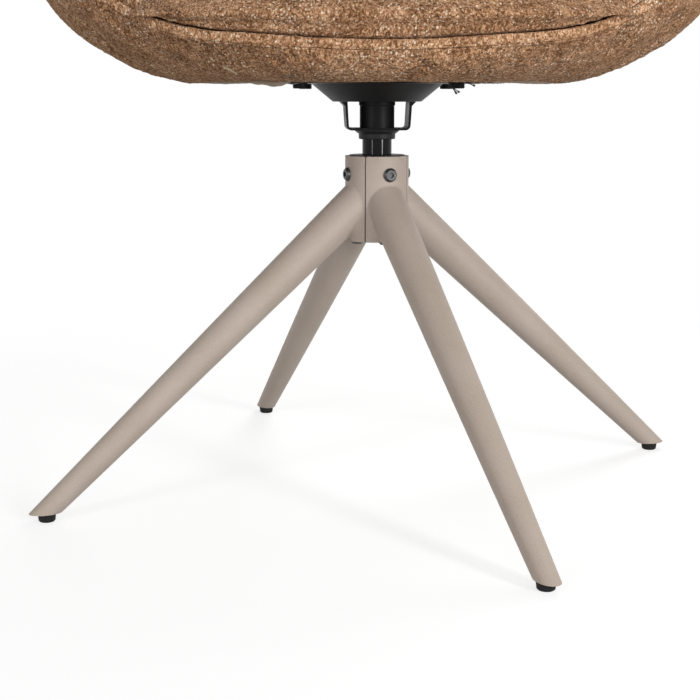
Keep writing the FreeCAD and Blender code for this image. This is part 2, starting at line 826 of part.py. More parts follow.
def make_bucket(nuts):
    save(closed_loft("cover_wire"), "outer_cover")
    save(closed_loft("frame_wire"), "shell_frame")
    save(closed_loft("welt_wire"), "welt_band")
    seam = back_pad_start - panel_gap
    save(pad_loft(arm_pad_start, seam), "inner_arm_pad_right")
    save(pad_loft(back_pad_start, 360.0 - back_pad_start), "inner_back_pad")
    save(pad_loft(360.0 - seam, 360.0 - arm_pad_start), "inner_arm_pad_left")

    cushion = Part.makeLoft([cushion_wire(*level) for level in cushion_levels], True, True)
    save(cushion, "seat_cushion")

    board = plan_plate(flat_radii, board_bottom, board_top)
    for nut in nuts:
        board = board.cut(nut)
    dust_cover = plan_plate(fold_radii, board_bottom - dust_cover_thickness, board_bottom)
    for x, y in plate_corners():
        board = board.cut(drum(tee_barrel_radius, board_bottom - 1, board_top, x, y))
        dust_cover = dust_cover.cut(drum(tee_barrel_radius, board_bottom - 3, board_top, x, y))
    save(board, "seat_board")
    save(dust_cover, "dust_cover")


make_base()
make_glides()
make_bucket(make_swivel_head())
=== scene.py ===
import json
import math
from types import SimpleNamespace

import bpy
import numpy as np
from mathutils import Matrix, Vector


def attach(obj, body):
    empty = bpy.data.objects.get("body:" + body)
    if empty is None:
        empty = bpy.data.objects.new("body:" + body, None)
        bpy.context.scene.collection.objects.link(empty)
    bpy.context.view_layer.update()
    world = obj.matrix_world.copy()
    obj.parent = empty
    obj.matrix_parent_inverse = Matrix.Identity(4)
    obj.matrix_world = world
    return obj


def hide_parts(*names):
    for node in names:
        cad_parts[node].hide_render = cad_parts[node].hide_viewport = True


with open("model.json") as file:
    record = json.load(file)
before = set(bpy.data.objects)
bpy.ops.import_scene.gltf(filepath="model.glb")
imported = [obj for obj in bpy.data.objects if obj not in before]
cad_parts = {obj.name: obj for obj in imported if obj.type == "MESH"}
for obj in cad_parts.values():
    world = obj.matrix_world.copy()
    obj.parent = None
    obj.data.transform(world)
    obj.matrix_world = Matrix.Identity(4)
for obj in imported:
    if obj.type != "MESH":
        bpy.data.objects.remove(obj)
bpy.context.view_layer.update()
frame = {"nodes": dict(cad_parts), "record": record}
cadNodes = frame["nodes"]

# Small tools for objects and shader nodes


def addObject(name, data):
    thing = bpy.data.objects.new(name, data)
    bpy.context.scene.collection.objects.link(thing)
    return thing


def feed(tree, node, values):
    # each named or numbered input gets a link from another node's output, or a plain value
    for label, value in values.items():
        socket = node.inputs[label]
        if isinstance(value, bpy.types.NodeSocket):
            tree.links.new(value, socket)
        elif socket.type == "RGBA":
            socket.default_value = (*value, 1.0)
        else:
            socket.default_value = value


def addNode(tree, kind, values=None, **settings):
    node = tree.nodes.new("ShaderNode" + kind)
    for label, value in settings.items():
        setattr(node, label, value)
    feed(tree, node, values or {})
    return node


def emptyTree(owner):
    owner.use_nodes = True
    owner.node_tree.nodes.clear()
    return owner.node_tree


def math2(tree, operation, a, b=0.0):
    return addNode(tree, "Math", {0: a, 1: b}, operation=operation).outputs[0]


def weighted(tree, *terms):
    # the sum of each value times its weight
    total = math2(tree, "MULTIPLY", *terms[0])
    for value, weight in terms[1:]:
        total = math2(tree, "ADD", total, math2(tree, "MULTIPLY", value, weight))
    return total


def vectorMath(tree, operation, a, b):
    return addNode(tree, "VectorMath", {0: a, 1: b}, operation=operation).outputs[0]


def noise(tree, vector, scale, detail=2.0, roughness=0.5):
    values = {"Vector": vector, "Scale": scale, "Detail": detail, "Roughness": roughness}
    return addNode(tree, "TexNoise", values).outputs["Fac"]


def cells(tree, vector, scale):
    return addNode(tree, "TexVoronoi", {"Vector": vector, "Scale": scale}).outputs


def colorParts(tree, color):
    return addNode(tree, "SeparateColor", {0: color}).outputs


def mapRange(tree, value, low, high, toLow=0.0, toHigh=1.0, smooth=False):
    values = {"Value": value, "From Min": low, "From Max": high, "To Min": toLow, "To Max": toHigh}
    kind = "SMOOTHSTEP" if smooth else "LINEAR"
    return addNode(tree, "MapRange", values, interpolation_type=kind).outputs[0]


def mixColors(tree, share, a, b, kind="MIX"):
    return addNode(tree, "Mix", {0: share, 6: a, 7: b}, data_type="RGBA", blend_type=kind).outputs[2]


def mixShaders(tree, share, a, b):
    return addNode(tree, "MixShader", {0: share, 1: a, 2: b}).outputs[0]


def ramp(tree, value, stops):
    node = addNode(tree, "ValToRGB", {0: value})
    points = node.color_ramp.elements
    while len(points) < len(stops):
        points.new(0.5)
    for point, (position, color) in zip(points, stops):
        point.position = position
        point.color = (*color, 1.0)
    return node.outputs[0]


def bump(tree, height, distance, strength=1.0):
    return addNode(tree, "Bump", {"Height": height, "Distance": distance, "Strength": strength}).outputs[0]


def objectPlace(tree):
    return addNode(tree, "TexCoord").outputs["Object"]


def newMaterial(name, plain):
    # the shader's own sockets hold every value that is the same all over the surface
    material = bpy.data.materials.new(name)
    material.use_nodes = True
    tree = material.node_tree
    shader = tree.nodes["Principled BSDF"]
    feed(tree, shader, plain)
    return material, tree, shader


def newGroup(name, numbers, outputs):
    # a group that reads a vector and some numbers, and puts out values
    group = bpy.data.node_groups.new(name, "ShaderNodeTree")
    newSocket = group.interface.new_socket
    newSocket("Vector", in_out="INPUT", socket_type="NodeSocketVector")
    for label, value in numbers.items():
        newSocket(label, in_out="INPUT", socket_type="NodeSocketFloat").default_value = value
    for label in outputs:
        newSocket(label, in_out="OUTPUT", socket_type="NodeSocketFloat")
    return group, group.nodes.new("NodeGroupInput").outputs, group.nodes.new("NodeGroupOutput")


# Camera, light and floor

white = (1.0, 1.0, 1.0)

cameraSetup = {
    "place": (-0.026, -1.3231, 0.3853),
    "pitch": 10.71,          # degrees below the horizon
    "lens": 69.8,
    "sensor": 36.0,
    "clipStart": 0.05,
}


def makeCamera():
    data = bpy.data.cameras.new("camera")
    data.lens = cameraSetup["lens"]
    data.sensor_width = cameraSetup["sensor"]
    data.clip_start = cameraSetup["clipStart"]
    camera = addObject("camera", data)
    camera.location = cameraSetup["place"]
    camera.rotation_euler = (math.radians(90.0 - cameraSetup["pitch"]), 0.0, 0.0)
    bpy.context.scene.camera = camera
    print("camera placed")


lightSetup = {
    "worldStrength": 0.31,
    # name: place, point it looks at, width, height, watts. The two tall strips draw the
    # upright highlights on the post.
    "key": ((1.75, -2.00, 0.80), (0.0, 0.0, 0.75), 0.30, 1.5, 48.0),
    "fill": ((-1.50, -1.90, 0.80), (0.0, 0.0, 0.75), 0.20, 1.5, 17.0),
    "front": ((0.1, -2.6, 1.3), (0.0, 0.0, 0.40), 1.0, 1.0, 9.0),
    "rear": ((0.9, 1.7, 1.9), (0.0, 0.0, 0.30), 1.2, 1.2, 24.0),
}


def seenDirectly(tree):
    # 1 for rays from the camera, from glossy surfaces and through glass
    path = addNode(tree, "LightPath").outputs
    first = math2(tree, "MAXIMUM", path["Is Camera Ray"], path["Is Glossy Ray"])
    return math2(tree, "MAXIMUM", first, path["Is Transmission Ray"])


def makeLight():
    for name in ("key", "fill", "front", "rear"):
        place, target, width, height, watts = lightSetup[name]
        data = bpy.data.lights.new(name, "AREA")
        data.shape = "RECTANGLE"
        data.size = width
        data.size_y = height
        data.energy = watts
        lamp = addObject(name, data)
        lamp.location = place
        lamp.rotation_mode = "QUATERNION"
        lamp.rotation_quaternion = (Vector(target) - lamp.location).to_track_quat("-Z", "Y")
    world = bpy.data.worlds.new("studio")
    tree = emptyTree(world)
    soft = addNode(tree, "Background", {"Color": white, "Strength": lightSetup["worldStrength"]})
    shown = addNode(tree, "Background", {"Color": white})
    mixed = mixShaders(tree, seenDirectly(tree), soft.outputs[0], shown.outputs[0])
    addNode(tree, "OutputWorld", {"Surface": mixed})
    bpy.context.scene.world = world
    bpy.context.scene.view_settings.view_transform = "Standard"
    print("light placed")


floorSetup = {
    "reach": 6.0,
    "color": (0.55, 0.55, 0.55),
    "shownColor": (0.42, 0.42, 0.42),
    "lift": 0.70,            # brings the lit floor up to the white of the backdrop
    "plainFrom": 0.55,       # from here outwards the floor turns into plain white
    "plainTo": 1.15,
}


def makeFloor():
    f = floorSetup
    mesh = bpy.data.meshes.new("floor")
    corners = [(x * f["reach"], y * f["reach"], 0.0) for x, y in ((-1, -1), (1, -1), (1, 1), (-1, 1))]
    mesh.from_pydata(corners, [], [(0, 1, 2, 3)])
    addObject("floor", mesh)
    material = bpy.data.materials.new("paleFloor")
    tree = emptyTree(material)
    plain = addNode(tree, "BsdfDiffuse", {"Color": f["color"]}).outputs[0]
    shown = addNode(tree, "BsdfDiffuse", {"Color": f["shownColor"]}).outputs[0]
    lift = addNode(tree, "Emission", {"Strength": f["lift"]}).outputs[0]
    near = addNode(tree, "AddShader", {0: shown, 1: lift}).outputs[0]
    far = addNode(tree, "Emission", {"Strength": 1.0}).outputs[0]
    distance = addNode(tree, "VectorMath", {0: objectPlace(tree)}, operation="LENGTH").outputs["Value"]
    faded = mixShaders(tree, mapRange(tree, distance, f["plainFrom"], f["plainTo"], smooth=True), near, far)
    above = mixShaders(tree, seenDirectly(tree), plain, faded)       # other rays meet the plain floor
    clear = addNode(tree, "BsdfTransparent").outputs[0]
    behind = addNode(tree, "NewGeometry").outputs["Backfacing"]
    whole = mixShaders(tree, behind, above, clear)                   # from below the floor is not there
    addNode(tree, "OutputMaterial", {"Surface": whole})
    mesh.materials.append(material)
    print("floor laid")


makeCamera()
makeLight()
makeFloor()

# Small tools for surfaces


def smoothStep(x):
    x = np.clip(x, 0.0, 1.0)
    return x * x * (3.0 - 2.0 * x)


def ease(x, low, high):
    # 0 up to low, 1 from high on, and smooth in between
    return smoothStep((x - low) / (high - low))


def between(a, b, share):
    return a + (b - a) * share


def shares(count):
    # a column of even steps from 0 to 1
    return np.linspace(0.0, 1.0, count)[:, None]


def apart(a, b):
    return np.linalg.norm(a - b, axis=-1)


def valueNoise(points, size, seed):
    # random values on a lattice of that size, blended smoothly in between, from -1 to 1
    table = np.random.default_rng(seed).uniform(-1.0, 1.0, 4096)
    scaled = points / size
    cell = np.floor(scaled).astype(np.int64)
    part = scaled - cell
    part = part * part * (3.0 - 2.0 * part)
    total = np.zeros(points.shape[:-1])
    for corner in np.ndindex(2, 2, 2):
        at = cell + np.array(corner)
        key = (at[..., 0] * 73856093) ^ (at[..., 1] * 19349663) ^ (at[..., 2] * 83492791)
        weight = np.prod(np.where(np.array(corner) == 1, part, 1.0 - part), axis=-1)
        total += table[key & 4095] * weight
    return total


def gridNormals(points, aroundClosed):
    # unit normals of a grid of points: the cross product of its two directions
    if aroundClosed:
        wide = np.concatenate([points[:, -1:], points, points[:, :1]], axis=1)
        around = (wide[:, 2:] - wide[:, :-2])
    else:
        around = np.gradient(points, axis=1)
    along = np.gradient(points, axis=0)
    normal = np.cross(around, along)
    return normal / np.maximum(np.linalg.norm(normal, axis=-1, keepdims=True), 1e-12)


def readVectors(items, label):
    values = np.empty(len(items) * 3)
    items.foreach_get(label, values)
    return values.reshape(-1, 3)


def faceOutwards(mesh):
    # the volume, as the sum of area times normal times centre over the faces, is positive
    area = np.empty(len(mesh.polygons))
    mesh.polygons.foreach_get("area", area)
    facing = readVectors(mesh.polygons, "center") * readVectors(mesh.polygons, "normal")
    volume = np.sum(facing * area[:, None])
    if volume < 0.0:
        mesh.flip_normals()


def meshPiece(name, places, faces, smooth=True):
    mesh = bpy.data.meshes.new(name)
    mesh.from_pydata(places, [], faces)
    if smooth:
        mesh.shade_smooth()
    faceOutwards(mesh)
    return addObject(name, mesh)


def gridQuads(index):
    # the quads between the neighbours in a grid of vertex numbers
    quads = np.stack([index[:-1, :-1], index[:-1, 1:], index[1:, 1:], index[1:, :-1]], axis=-1)
    return quads.reshape(-1, 4).tolist()


def gridMesh(name, points, closedAlong, closedAround, capEnds=False, poles=()):
    # Quads between the neighbours of a grid of points. With capEnds each open end gets a fan to
    # its middle, and the first and the last row get one to the middle of their pole, if it is given.
    index = np.arange(points[..., 0].size).reshape(points.shape[:2])
    if closedAlong:
        index = np.vstack([index, index[:1]])
    if closedAround:
        index = np.hstack([index, index[:, :1]])
    faces = gridQuads(index)
    places = points.reshape(-1, 3).tolist()
    fans = list(zip((index[0, ::-1], index[-1]), poles))
    if capEnds:
        fans += [(index[:, 0], points[:, 0]), (index[::-1, -1], points[:, -1])]
    for edge, around in fans:
        faces += [(a, b, len(places)) for a, b in zip(edge[:-1].tolist(), edge[1:].tolist())]
        places.append(np.mean(around, axis=0).tolist())
    return meshPiece(name, places, faces)


def dress(piece, slot, node=None, material=None):
    # the piece turns with the seat, may stand for a solid, and wears its slot's finish
    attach(piece, "seat")
    if node:
        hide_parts(node)
    piece.data.materials.append(material or finishes[slot])
    print(piece.name, "made")


clothSetup = {
    "frames": 20,
    "step": 4,               # one row and column in so many goes into the simulation
    "growth": 0.035,         # the cover is cut a little larger than the foam
    "quality": 6,
    "mass": 0.25,
    "stretch": 14.0,
    "bend": 0.35,
    "heldLevels": 5,
}


def filledIn(values, known, count):
    # rows that are known at some numbers, worked out in line for every number up to the count
    at = np.interp(np.arange(count), known, np.arange(len(known)))
    low = np.minimum(at.astype(int), len(known) - 2)
    part = (at - low)[:, None, None]
    return values[low] * (1.0 - part) + values[low + 1] * part


def swollen(points, free, towards, closedAround, pressure, cap):
    # Cloth under pressure, run on a coarse copy of the grid. Its moves, eased to stay under the
    # cap, are carried back to the fine grid. free is 0 where the cover is held, 1 where it may move.
    c = clothSetup
    rowCount, columnCount = points.shape[:2]
    rows = np.unique(np.append(np.arange(0, rowCount, c["step"]), rowCount - 1))
    columns = np.arange(0, columnCount, c["step"])
    if not closedAround:
        columns = np.unique(np.append(columns, columnCount - 1))
    coarse = points[np.ix_(rows, columns)]
    piece = gridMesh("clothTrial", coarse, False, closedAround)
    mesh = piece.data
    facing = readVectors(mesh.vertices, "normal") * towards[np.ix_(rows, columns)].reshape(-1, 3)
    if facing.sum() < 0.0:
        mesh.flip_normals()
    held = piece.vertex_groups.new(name="held")
    top = c["heldLevels"] - 1
    level = np.round((1.0 - free[np.ix_(rows, columns)].ravel()) * top).astype(int)
    for i in range(c["heldLevels"]):
        held.add(np.flatnonzero(level == i).tolist(), i / top, "REPLACE")
    modifier = piece.modifiers.new("cloth", "CLOTH")
    cloth = modifier.settings
    cloth.quality = c["quality"]
    cloth.mass = c["mass"]
    cloth.tension_stiffness = c["stretch"]
    cloth.compression_stiffness = c["stretch"]
    cloth.bending_stiffness = c["bend"]
    cloth.vertex_group_mass = "held"
    cloth.use_pressure = True
    cloth.uniform_pressure_force = pressure
    cloth.shrink_min = -c["growth"]
    cloth.effector_weights.gravity = 0.0
    modifier.point_cache.frame_end = c["frames"]
    scene = bpy.context.scene
    for frameNumber in range(1, c["frames"] + 1):
        scene.frame_set(frameNumber)
    result = piece.evaluated_get(bpy.context.evaluated_depsgraph_get()).data
    moves = readVectors(result.vertices, "co").reshape(coarse.shape) - coarse
    bpy.data.objects.remove(piece)
    scene.frame_set(1)
    size = np.maximum(np.linalg.norm(moves, axis=-1, keepdims=True), 1e-9)
    moves = moves * cap * np.tanh(size / cap) / size
    if closedAround:
        moves = np.concatenate([moves, moves[:, :1]], axis=1)
        columns = np.append(columns, columnCount)
    moves = filledIn(moves, rows, rowCount)
    moves = filledIn(moves.swapaxes(0, 1), columns, columnCount).swapaxes(0, 1)
    print("cloth moved by", round(float(np.linalg.norm(moves, axis=-1).max()) * 1000.0, 1), "mm at most")
    return points + moves


def paddedSkin(skin, free, towards, closedAround, c):
    # the skin after the cloth has swollen, and its normals on the side that it faces
    skin = swollen(skin, free, towards, closedAround, c["pressure"], c["cap"])
    normal = gridNormals(skin, closedAround)
    return skin, normal * np.sign(np.sum(normal * towards))


def splineRows(knots, counts):
    # a Catmull-Rom curve through rows of knots, with that many steps in each span
    padded = np.concatenate([2 * knots[:1] - knots[1:2], knots, 2 * knots[-1:] - knots[-2:-1]])
    rows = []
    for i, count in enumerate(counts):
        a, b, c, d = padded[i:i + 4]
        t = (np.arange(count) / count).reshape((-1,) + (1,) * (knots.ndim - 1))
        rows.append(0.5 * (2 * b + (c - a) * t + (2 * a - 5 * b + 4 * c - d) * t ** 2
                           + (3 * b - a - 3 * c + d) * t ** 3))
    rows.append(knots[-1:])
    return np.concatenate(rows)


def bezierRows(a, b, c, d, count):
    # a cubic Bezier curve between rows a and d
    t = np.linspace(0.0, 1.0, count).reshape((-1,) + (1,) * a.ndim)
    return a * (1 - t) ** 3 + 3 * b * t * (1 - t) ** 2 + 3 * c * t * t * (1 - t) + d * t ** 3


# The bucket: vertical sections turned about an axis a little behind the origin

bucket = {
    "axisY": 0.010,
    "planPower": 2.3,
    "flatPower": 1.8,
    "underside": 0.393,
    "boardBottom": 0.398,
    # radii to the side, the front and the back: where the cover is folded in, where it leaves
    # the flat underside, and where it is widest
    "fold": (0.135, 0.178, 0.126),
    "flat": (0.150, 0.200, 0.152),
    "wide": (0.328, 0.250, 0.272),
    "flatOutside": 0.002,    # the flat underside is at least this much wider than the fold
    # a value at the front and one at the side, and the angles from the front where it changes
    "swell": (0.030, 0.152),
    "swellAngles": (10.0, 70.0),
    "wall": (0.034, 0.062),
    "bandHalf": (0.0041, 0.006),
    "ridgeAngles": (35.0, 90.0),
    "padShare": (0.90, 1.0),            # the arm pads are thinner at their front ends
    "padAngles": (41.0, 58.0),
    "rearAngles": (90.0, 180.0),
    "lean": 0.16,
    "wallBackExtra": 0.008,
    "bandThickness": 0.003,
    "frameShare": 0.42,
    "coreShare": 0.58,
    "cushionGap": 0.003,
    "rim": ((0.0, 0.4226), (25.0, 0.428), (37.0, 0.434), (47.0, 0.447), (53.0, 0.460),
            (62.0, 0.490), (72.0, 0.532), (84.0, 0.580), (98.0, 0.621), (115.0, 0.664),
            (130.0, 0.714), (145.0, 0.766), (160.0, 0.800), (180.0, 0.812)),
}


def planRadius(radii, phi, power=bucket["planPower"]):
    # a rounded oval: (sine / side) and (cosine / reach) to the power, added, give 1 / radius
    side, front, back = radii
    reach = np.where(np.cos(phi) > 0.0, front, back)
    total = (np.abs(np.sin(phi)) / side) ** power + (np.abs(np.cos(phi)) / reach) ** power
    return total ** (-1.0 / power)


def rimHeight(folded):
    # a cubic Hermite curve through the rim's heights
    degrees, heights = np.array(bucket["rim"]).T
    slopes = np.zeros(len(heights))
    slopes[1:-1] = (heights[2:] - heights[:-2]) / (degrees[2:] - degrees[:-2])
    i = np.clip(np.searchsorted(degrees, folded) - 1, 0, len(degrees) - 2)
    width = degrees[i + 1] - degrees[i]
    t = (folded - degrees[i]) / width
    return (heights[i] * (1 + 2 * t) * (1 - t) ** 2 + slopes[i] * width * t * (1 - t) ** 2
            + heights[i + 1] * t * t * (3 - 2 * t) - slopes[i + 1] * width * t * t * (1 - t))


def bucketSection(phi):
    # what each section needs: folded is its angle from the front, and out and along are the band's
    # directions as (radius, height), which turn from facing outwards to facing upwards
    b = bucket
    s = SimpleNamespace(phi=phi)
    s.folded = np.abs((np.degrees(phi) + 180.0) % 360.0 - 180.0)
    s.ridge = ease(s.folded, *b["ridgeAngles"])
    s.rear = ease(s.folded, *b["rearAngles"])
    s.fold = planRadius(b["fold"], phi)
    s.flat = np.maximum(planRadius(b["flat"], phi, b["flatPower"]), s.fold + b["flatOutside"])
    s.wide = planRadius(b["wide"], phi)
    s.swell = between(*b["swell"], ease(s.folded, *b["swellAngles"]))
    s.lean = b["lean"] * s.rear
    s.wall = between(*b["wall"], s.ridge) + b["wallBackExtra"] * s.rear
    s.rim = rimHeight(s.folded)
    s.half = between(*b["bandHalf"], s.ridge)
    facing = np.radians(90.0) * s.ridge
    s.out = np.stack([np.cos(facing), np.sin(facing)], axis=-1)
    s.along = np.stack([-np.sin(facing), np.cos(facing)], axis=-1)
    depth = between(b["bandThickness"], s.wall / 2.0, s.ridge)
    s.crest = np.stack([outerRadius(s, s.rim) - depth, s.rim], axis=-1)
    s.padShare = between(*b["padShare"], ease(s.folded, *b["padAngles"]))
    return s


def wholeRound(columns):
    # the sections all round, from the back
    return bucketSection(np.linspace(0.0, 2.0 * math.pi, columns, endpoint=False) + math.pi)


def outerRadius(s, height):
    # a quarter ellipse from the flat underside, then a leaning line
    rise = bucket["underside"] + s.swell - height
    share = np.clip(rise / s.swell, 0.0, 1.0)
    curve = s.flat + (s.wide - s.flat) * np.sqrt(1.0 - share * share)
    return np.where(rise <= 0.0, s.wide - s.lean * rise, curve)


def onCrest(s, along, out):
    # a point beside the middle of the rim, along the band and out from it
    return s.crest + np.expand_dims(along, -1) * s.along + np.expand_dims(out, -1) * s.out


def evenRows(profile, count):
    # the same curves, with their rows spread evenly along them
    steps = np.linalg.norm(np.diff(profile, axis=0), axis=-1)
    length = np.vstack([0.0 * steps[:1], np.cumsum(steps, axis=0)])
    share = np.linspace(0.0, 1.0, count)
    columns = [[np.interp(share * length[-1, i], length[:, i], profile[:, i, k]) for k in (0, 1)]
               for i in range(profile.shape[1])]
    return np.array(columns).transpose(2, 0, 1)


def placed(s, profile):
    # profile holds (radius, height) for each row and angle
    radius, height = profile[..., 0], profile[..., 1]
    return np.stack([radius * np.sin(s.phi), bucket["axisY"] - radius * np.cos(s.phi), height], axis=-1)


def pair(radius, height):
    return np.stack(np.broadcast_arrays(radius, height), axis=-1)


def fromAxis(points):
    # level directions away from the bucket's axis
    return (points - np.array([0.0, bucket["axisY"], 0.0])) * np.array([1.0, 1.0, 0.0])


pileSetup = {
    "height": 0.00024,
    "fullAt": 0.002,         # rows this far apart get the full height
    "least": 0.1,
}


def pile(points, seed):
    # the uneven tips of the pile: random heights, smaller where the rows lie close together
    c = pileSetup
    rowGap = np.linalg.norm(np.gradient(points, axis=0), axis=-1)
    heights = np.random.default_rng(seed).normal(0.0, c["height"], points.shape[:2])
    return heights * np.clip(rowGap / c["fullAt"], c["least"], 1.0)


seamSetup = {
    "swayRadius": 0.3,       # metres for each radian round the seam, for its irregularity
    "waveRadius": 0.28,      # and for the spacing of its folds
    "phaseSize": 0.02,
    "phaseSway": 2.5,        # radians by which the folds leave their even spacing
    "patchSize": 0.045,
    "quiet": 0.01,           # the padding is even this close to a seam
}


def puckers(s, distance, spacing, seed):
    # small folds square to a seam: waves along it that die out with the distance from it
    c = seamSetup
    sway = np.stack([np.sin(s.phi), np.cos(s.phi), 0.0 * s.phi], axis=-1) * c["swayRadius"]
    phase = valueNoise(sway, c["phaseSize"], seed) * c["phaseSway"]
    strength = 0.5 + 0.5 * valueNoise(sway, c["patchSize"], seed + 1)
    waves = np.sin(s.phi * c["waveRadius"] / spacing * 2.0 * math.pi + phase)
    return waves * np.clip(strength, 0.0, 1.0) * np.exp(-distance)


def unevenness(s, skin, toSeam, c):
    # slow lumps of the padding, folds pinched in at the seam, and the pile.
    # lumps holds (size, seed, height); pinches (reach, spacing, seed, depth, where they start)
    lumps = sum(valueNoise(skin, size, seed) * height for size, seed, height in c["lumps"])
    reach, spacing, seed, depth, start = c["pinches"]
    pinch = puckers(s, toSeam / reach, spacing, seed) * depth * smoothStep(toSeam / start)
    return lumps * smoothStep(toSeam / seamSetup["quiet"]) + pinch + pile(skin, c["pileSeed"])


coverSetup = {
    "columns": 680,
    "undersideRows": 14,
    "swellRows": 70,
    "wallRows": 46,
    "shoulderRows": 18,
    "skinRows": 132,
    "innerRows": 8,
    "shownUnderside": (0.3943, 0.3956),     # lowest in the middle, where it hides the dust cover's edge
    "undersideAngles": (22.0, 34.0),
    "seamGap": 0.0004,
    "crown": 0.0021,
    "rollFront": 0.005,
    "rollDrop": (0.6, 1.0),
    "curveReach": 0.56,      # the Bezier handles' length over the chord's, near a quarter circle
    "tuck": 0.0035,
    "keel": (0.004, 0.022),  # how deep the cover goes under the band, at the front and at the side
    "coreDrop": 0.006,
    "free": (0.03, 0.002, 0.03),            # eased over this from the seam, and above the underside
    "pressure": 1.5,
    "cap": 0.0035,
    "lumps": ((0.06, 3, 0.0012), (0.022, 5, 0.0006)),
    "pinches": (0.022, 0.017, 11, 0.0011, 0.004),
    "pileSeed": 7,
    "wrinkles": (-52.0, -47.0, -41.5, -35.0, -30.5, -26.0, -19.0, -8.0, 6.0, 21.0, 33.0, 48.0, 57.0, 66.0),
    "wrinkleWidth": 0.0045,
    "wrinkleDepth": 0.0028,
    "wrinkleLength": 0.020,
    "wrinkleSway": (1.2, 160.0),            # degrees, and radians for each metre down
    "wrinkleRadius": 0.24,
}


def frontWrinkles(s, toSeam):
    # upright pinches below the seam: a narrow groove each, deepest a little under the seam
    c = coverSetup
    signed = (np.degrees(s.phi) + 180.0) % 360.0 - 180.0
    sway, rate = c["wrinkleSway"]
    down = toSeam / c["wrinkleLength"]
    total = np.zeros(toSeam.shape)
    for i, angle in enumerate(c["wrinkles"]):
        across = np.radians(signed - angle + sway * np.sin(toSeam * rate + i)) * c["wrinkleRadius"]
        depth = c["wrinkleDepth"] * (0.6 + 0.4 * math.sin(2.4 * i))
        total -= depth * down * np.exp(1.0 - down) * np.exp(-(across / c["wrinkleWidth"]) ** 2)
    return total


def shownUnderside(s):
    return between(*coverSetup["shownUnderside"], ease(s.folded, *coverSetup["undersideAngles"]))


def makeOuterCover():
    c = coverSetup
    b = bucket
    s = wholeRound(c["columns"])
    roll = between(c["rollFront"], s.wall / 2.0, s.ridge)
    edge = onCrest(s, -s.half - c["seamGap"], c["crown"])
    shoulder = edge[:, 1] - roll * between(*c["rollDrop"], s.ridge)
    knee = np.minimum(b["underside"] + s.swell, shoulder - 0.001)
    # underside, from the fold to where the swell starts
    t = np.linspace(0.0, 1.0, c["undersideRows"], endpoint=False)[:, None]
    under = pair(between(s.fold, s.flat, t), b["underside"])
    # swell, by equal steps of the quarter ellipse's angle
    full = np.arccos(np.clip((b["underside"] + s.swell - knee) / s.swell, 0.0, 1.0))
    angle = shares(c["swellRows"]) * full
    swell = pair(between(s.flat, s.wide, np.sin(angle)), b["underside"] + s.swell * (1.0 - np.cos(angle)))
    height = between(knee, shoulder, shares(c["wallRows"])[1:-1])
    wall = pair(outerRadius(s, height), height)
    # shoulder, as a Bezier curve that ends along the band
    start = pair(outerRadius(s, shoulder), shoulder)
    reach = c["curveReach"] * apart(edge, start)[:, None]
    leaning = start + pair(s.lean, 1.0) * reach
    top = bezierRows(start, leaning, edge - s.along * reach, edge, c["shoulderRows"])
    # under the band, then down the side of the frame and back to the fold
    tuck = [onCrest(s, 0.0002 - s.half, -c["tuck"] * share) for share in (0.35, 1.0)]
    keel = onCrest(s, 0.0005 - s.half, -between(*c["keel"], s.ridge))
    height = between(shoulder - c["coreDrop"], b["boardBottom"], shares(c["innerRows"]))
    radius = outerRadius(s, np.maximum(height, b["underside"])) - b["frameShare"] * s.wall
    inner = pair(np.maximum(radius, s.fold), height)
    hem = [pair(s.fold + 0.001, b["boardBottom"]), pair(s.fold + 0.0002, b["boardBottom"] - 0.0015)]
    rows = c["skinRows"]
    skin = evenRows(np.concatenate([under, swell, wall, top]), rows)
    skin[..., 1] = np.maximum(skin[..., 1], shownUnderside(s))
    points = placed(s, np.concatenate([skin, np.stack(tuck + [keel]), inner, np.stack(hem)]))
    skin = points[:rows]
    fromSeam, above, fromUnderside = c["free"]
    free = smoothStep(apart(skin, skin[-1]) / fromSeam) * smoothStep(
        (skin[..., 2] - b["underside"] - above) / fromUnderside)
    skin, normal = paddedSkin(skin, free, fromAxis(skin), True, c)
    toSeam = apart(skin, skin[-1])
    points[:rows] = skin + normal * (unevenness(s, skin, toSeam, c) + frontWrinkles(s, toSeam))[..., None]
    cover = gridMesh("outer_cover_upholstery", points, True, True)
    dress(cover, "chenille", "outer_cover")


bandSetup = {
    "columns": 640,
    "round": 0.0013,
    "crown": 0.0002,
    "sunk": 0.0022,
    "spans": (2, 3, 4, 4, 3, 2),
    "lumps": (0.012, 21, 0.00035),
    "pileSeed": 8,
}


def makeWeltBand():
    # a flat strip with rounded edges, whose sides go down between the cover and the cushion
    c = bandSetup
    s = wholeRound(c["columns"])
    thick = bucket["bandThickness"]
    knots = [
        onCrest(s, -s.half, -c["sunk"]),
        onCrest(s, -s.half, thick - c["round"]),
        onCrest(s, -s.half + c["round"], thick),
        onCrest(s, 0.0, thick + c["crown"]),
        onCrest(s, s.half - c["round"], thick),
        onCrest(s, s.half, thick - c["round"]),
        onCrest(s, s.half, -c["sunk"]),
    ]
    points = placed(s, splineRows(np.stack(knots), c["spans"]))
    size, seed, height = c["lumps"]
    uneven = valueNoise(points, size, seed) * height + pile(points, c["pileSeed"])
    points += gridNormals(points, True) * uneven[..., None]
    band = gridMesh("welt_band_upholstery", points, True, True)
    dress(band, "chenille_band", "welt_band")


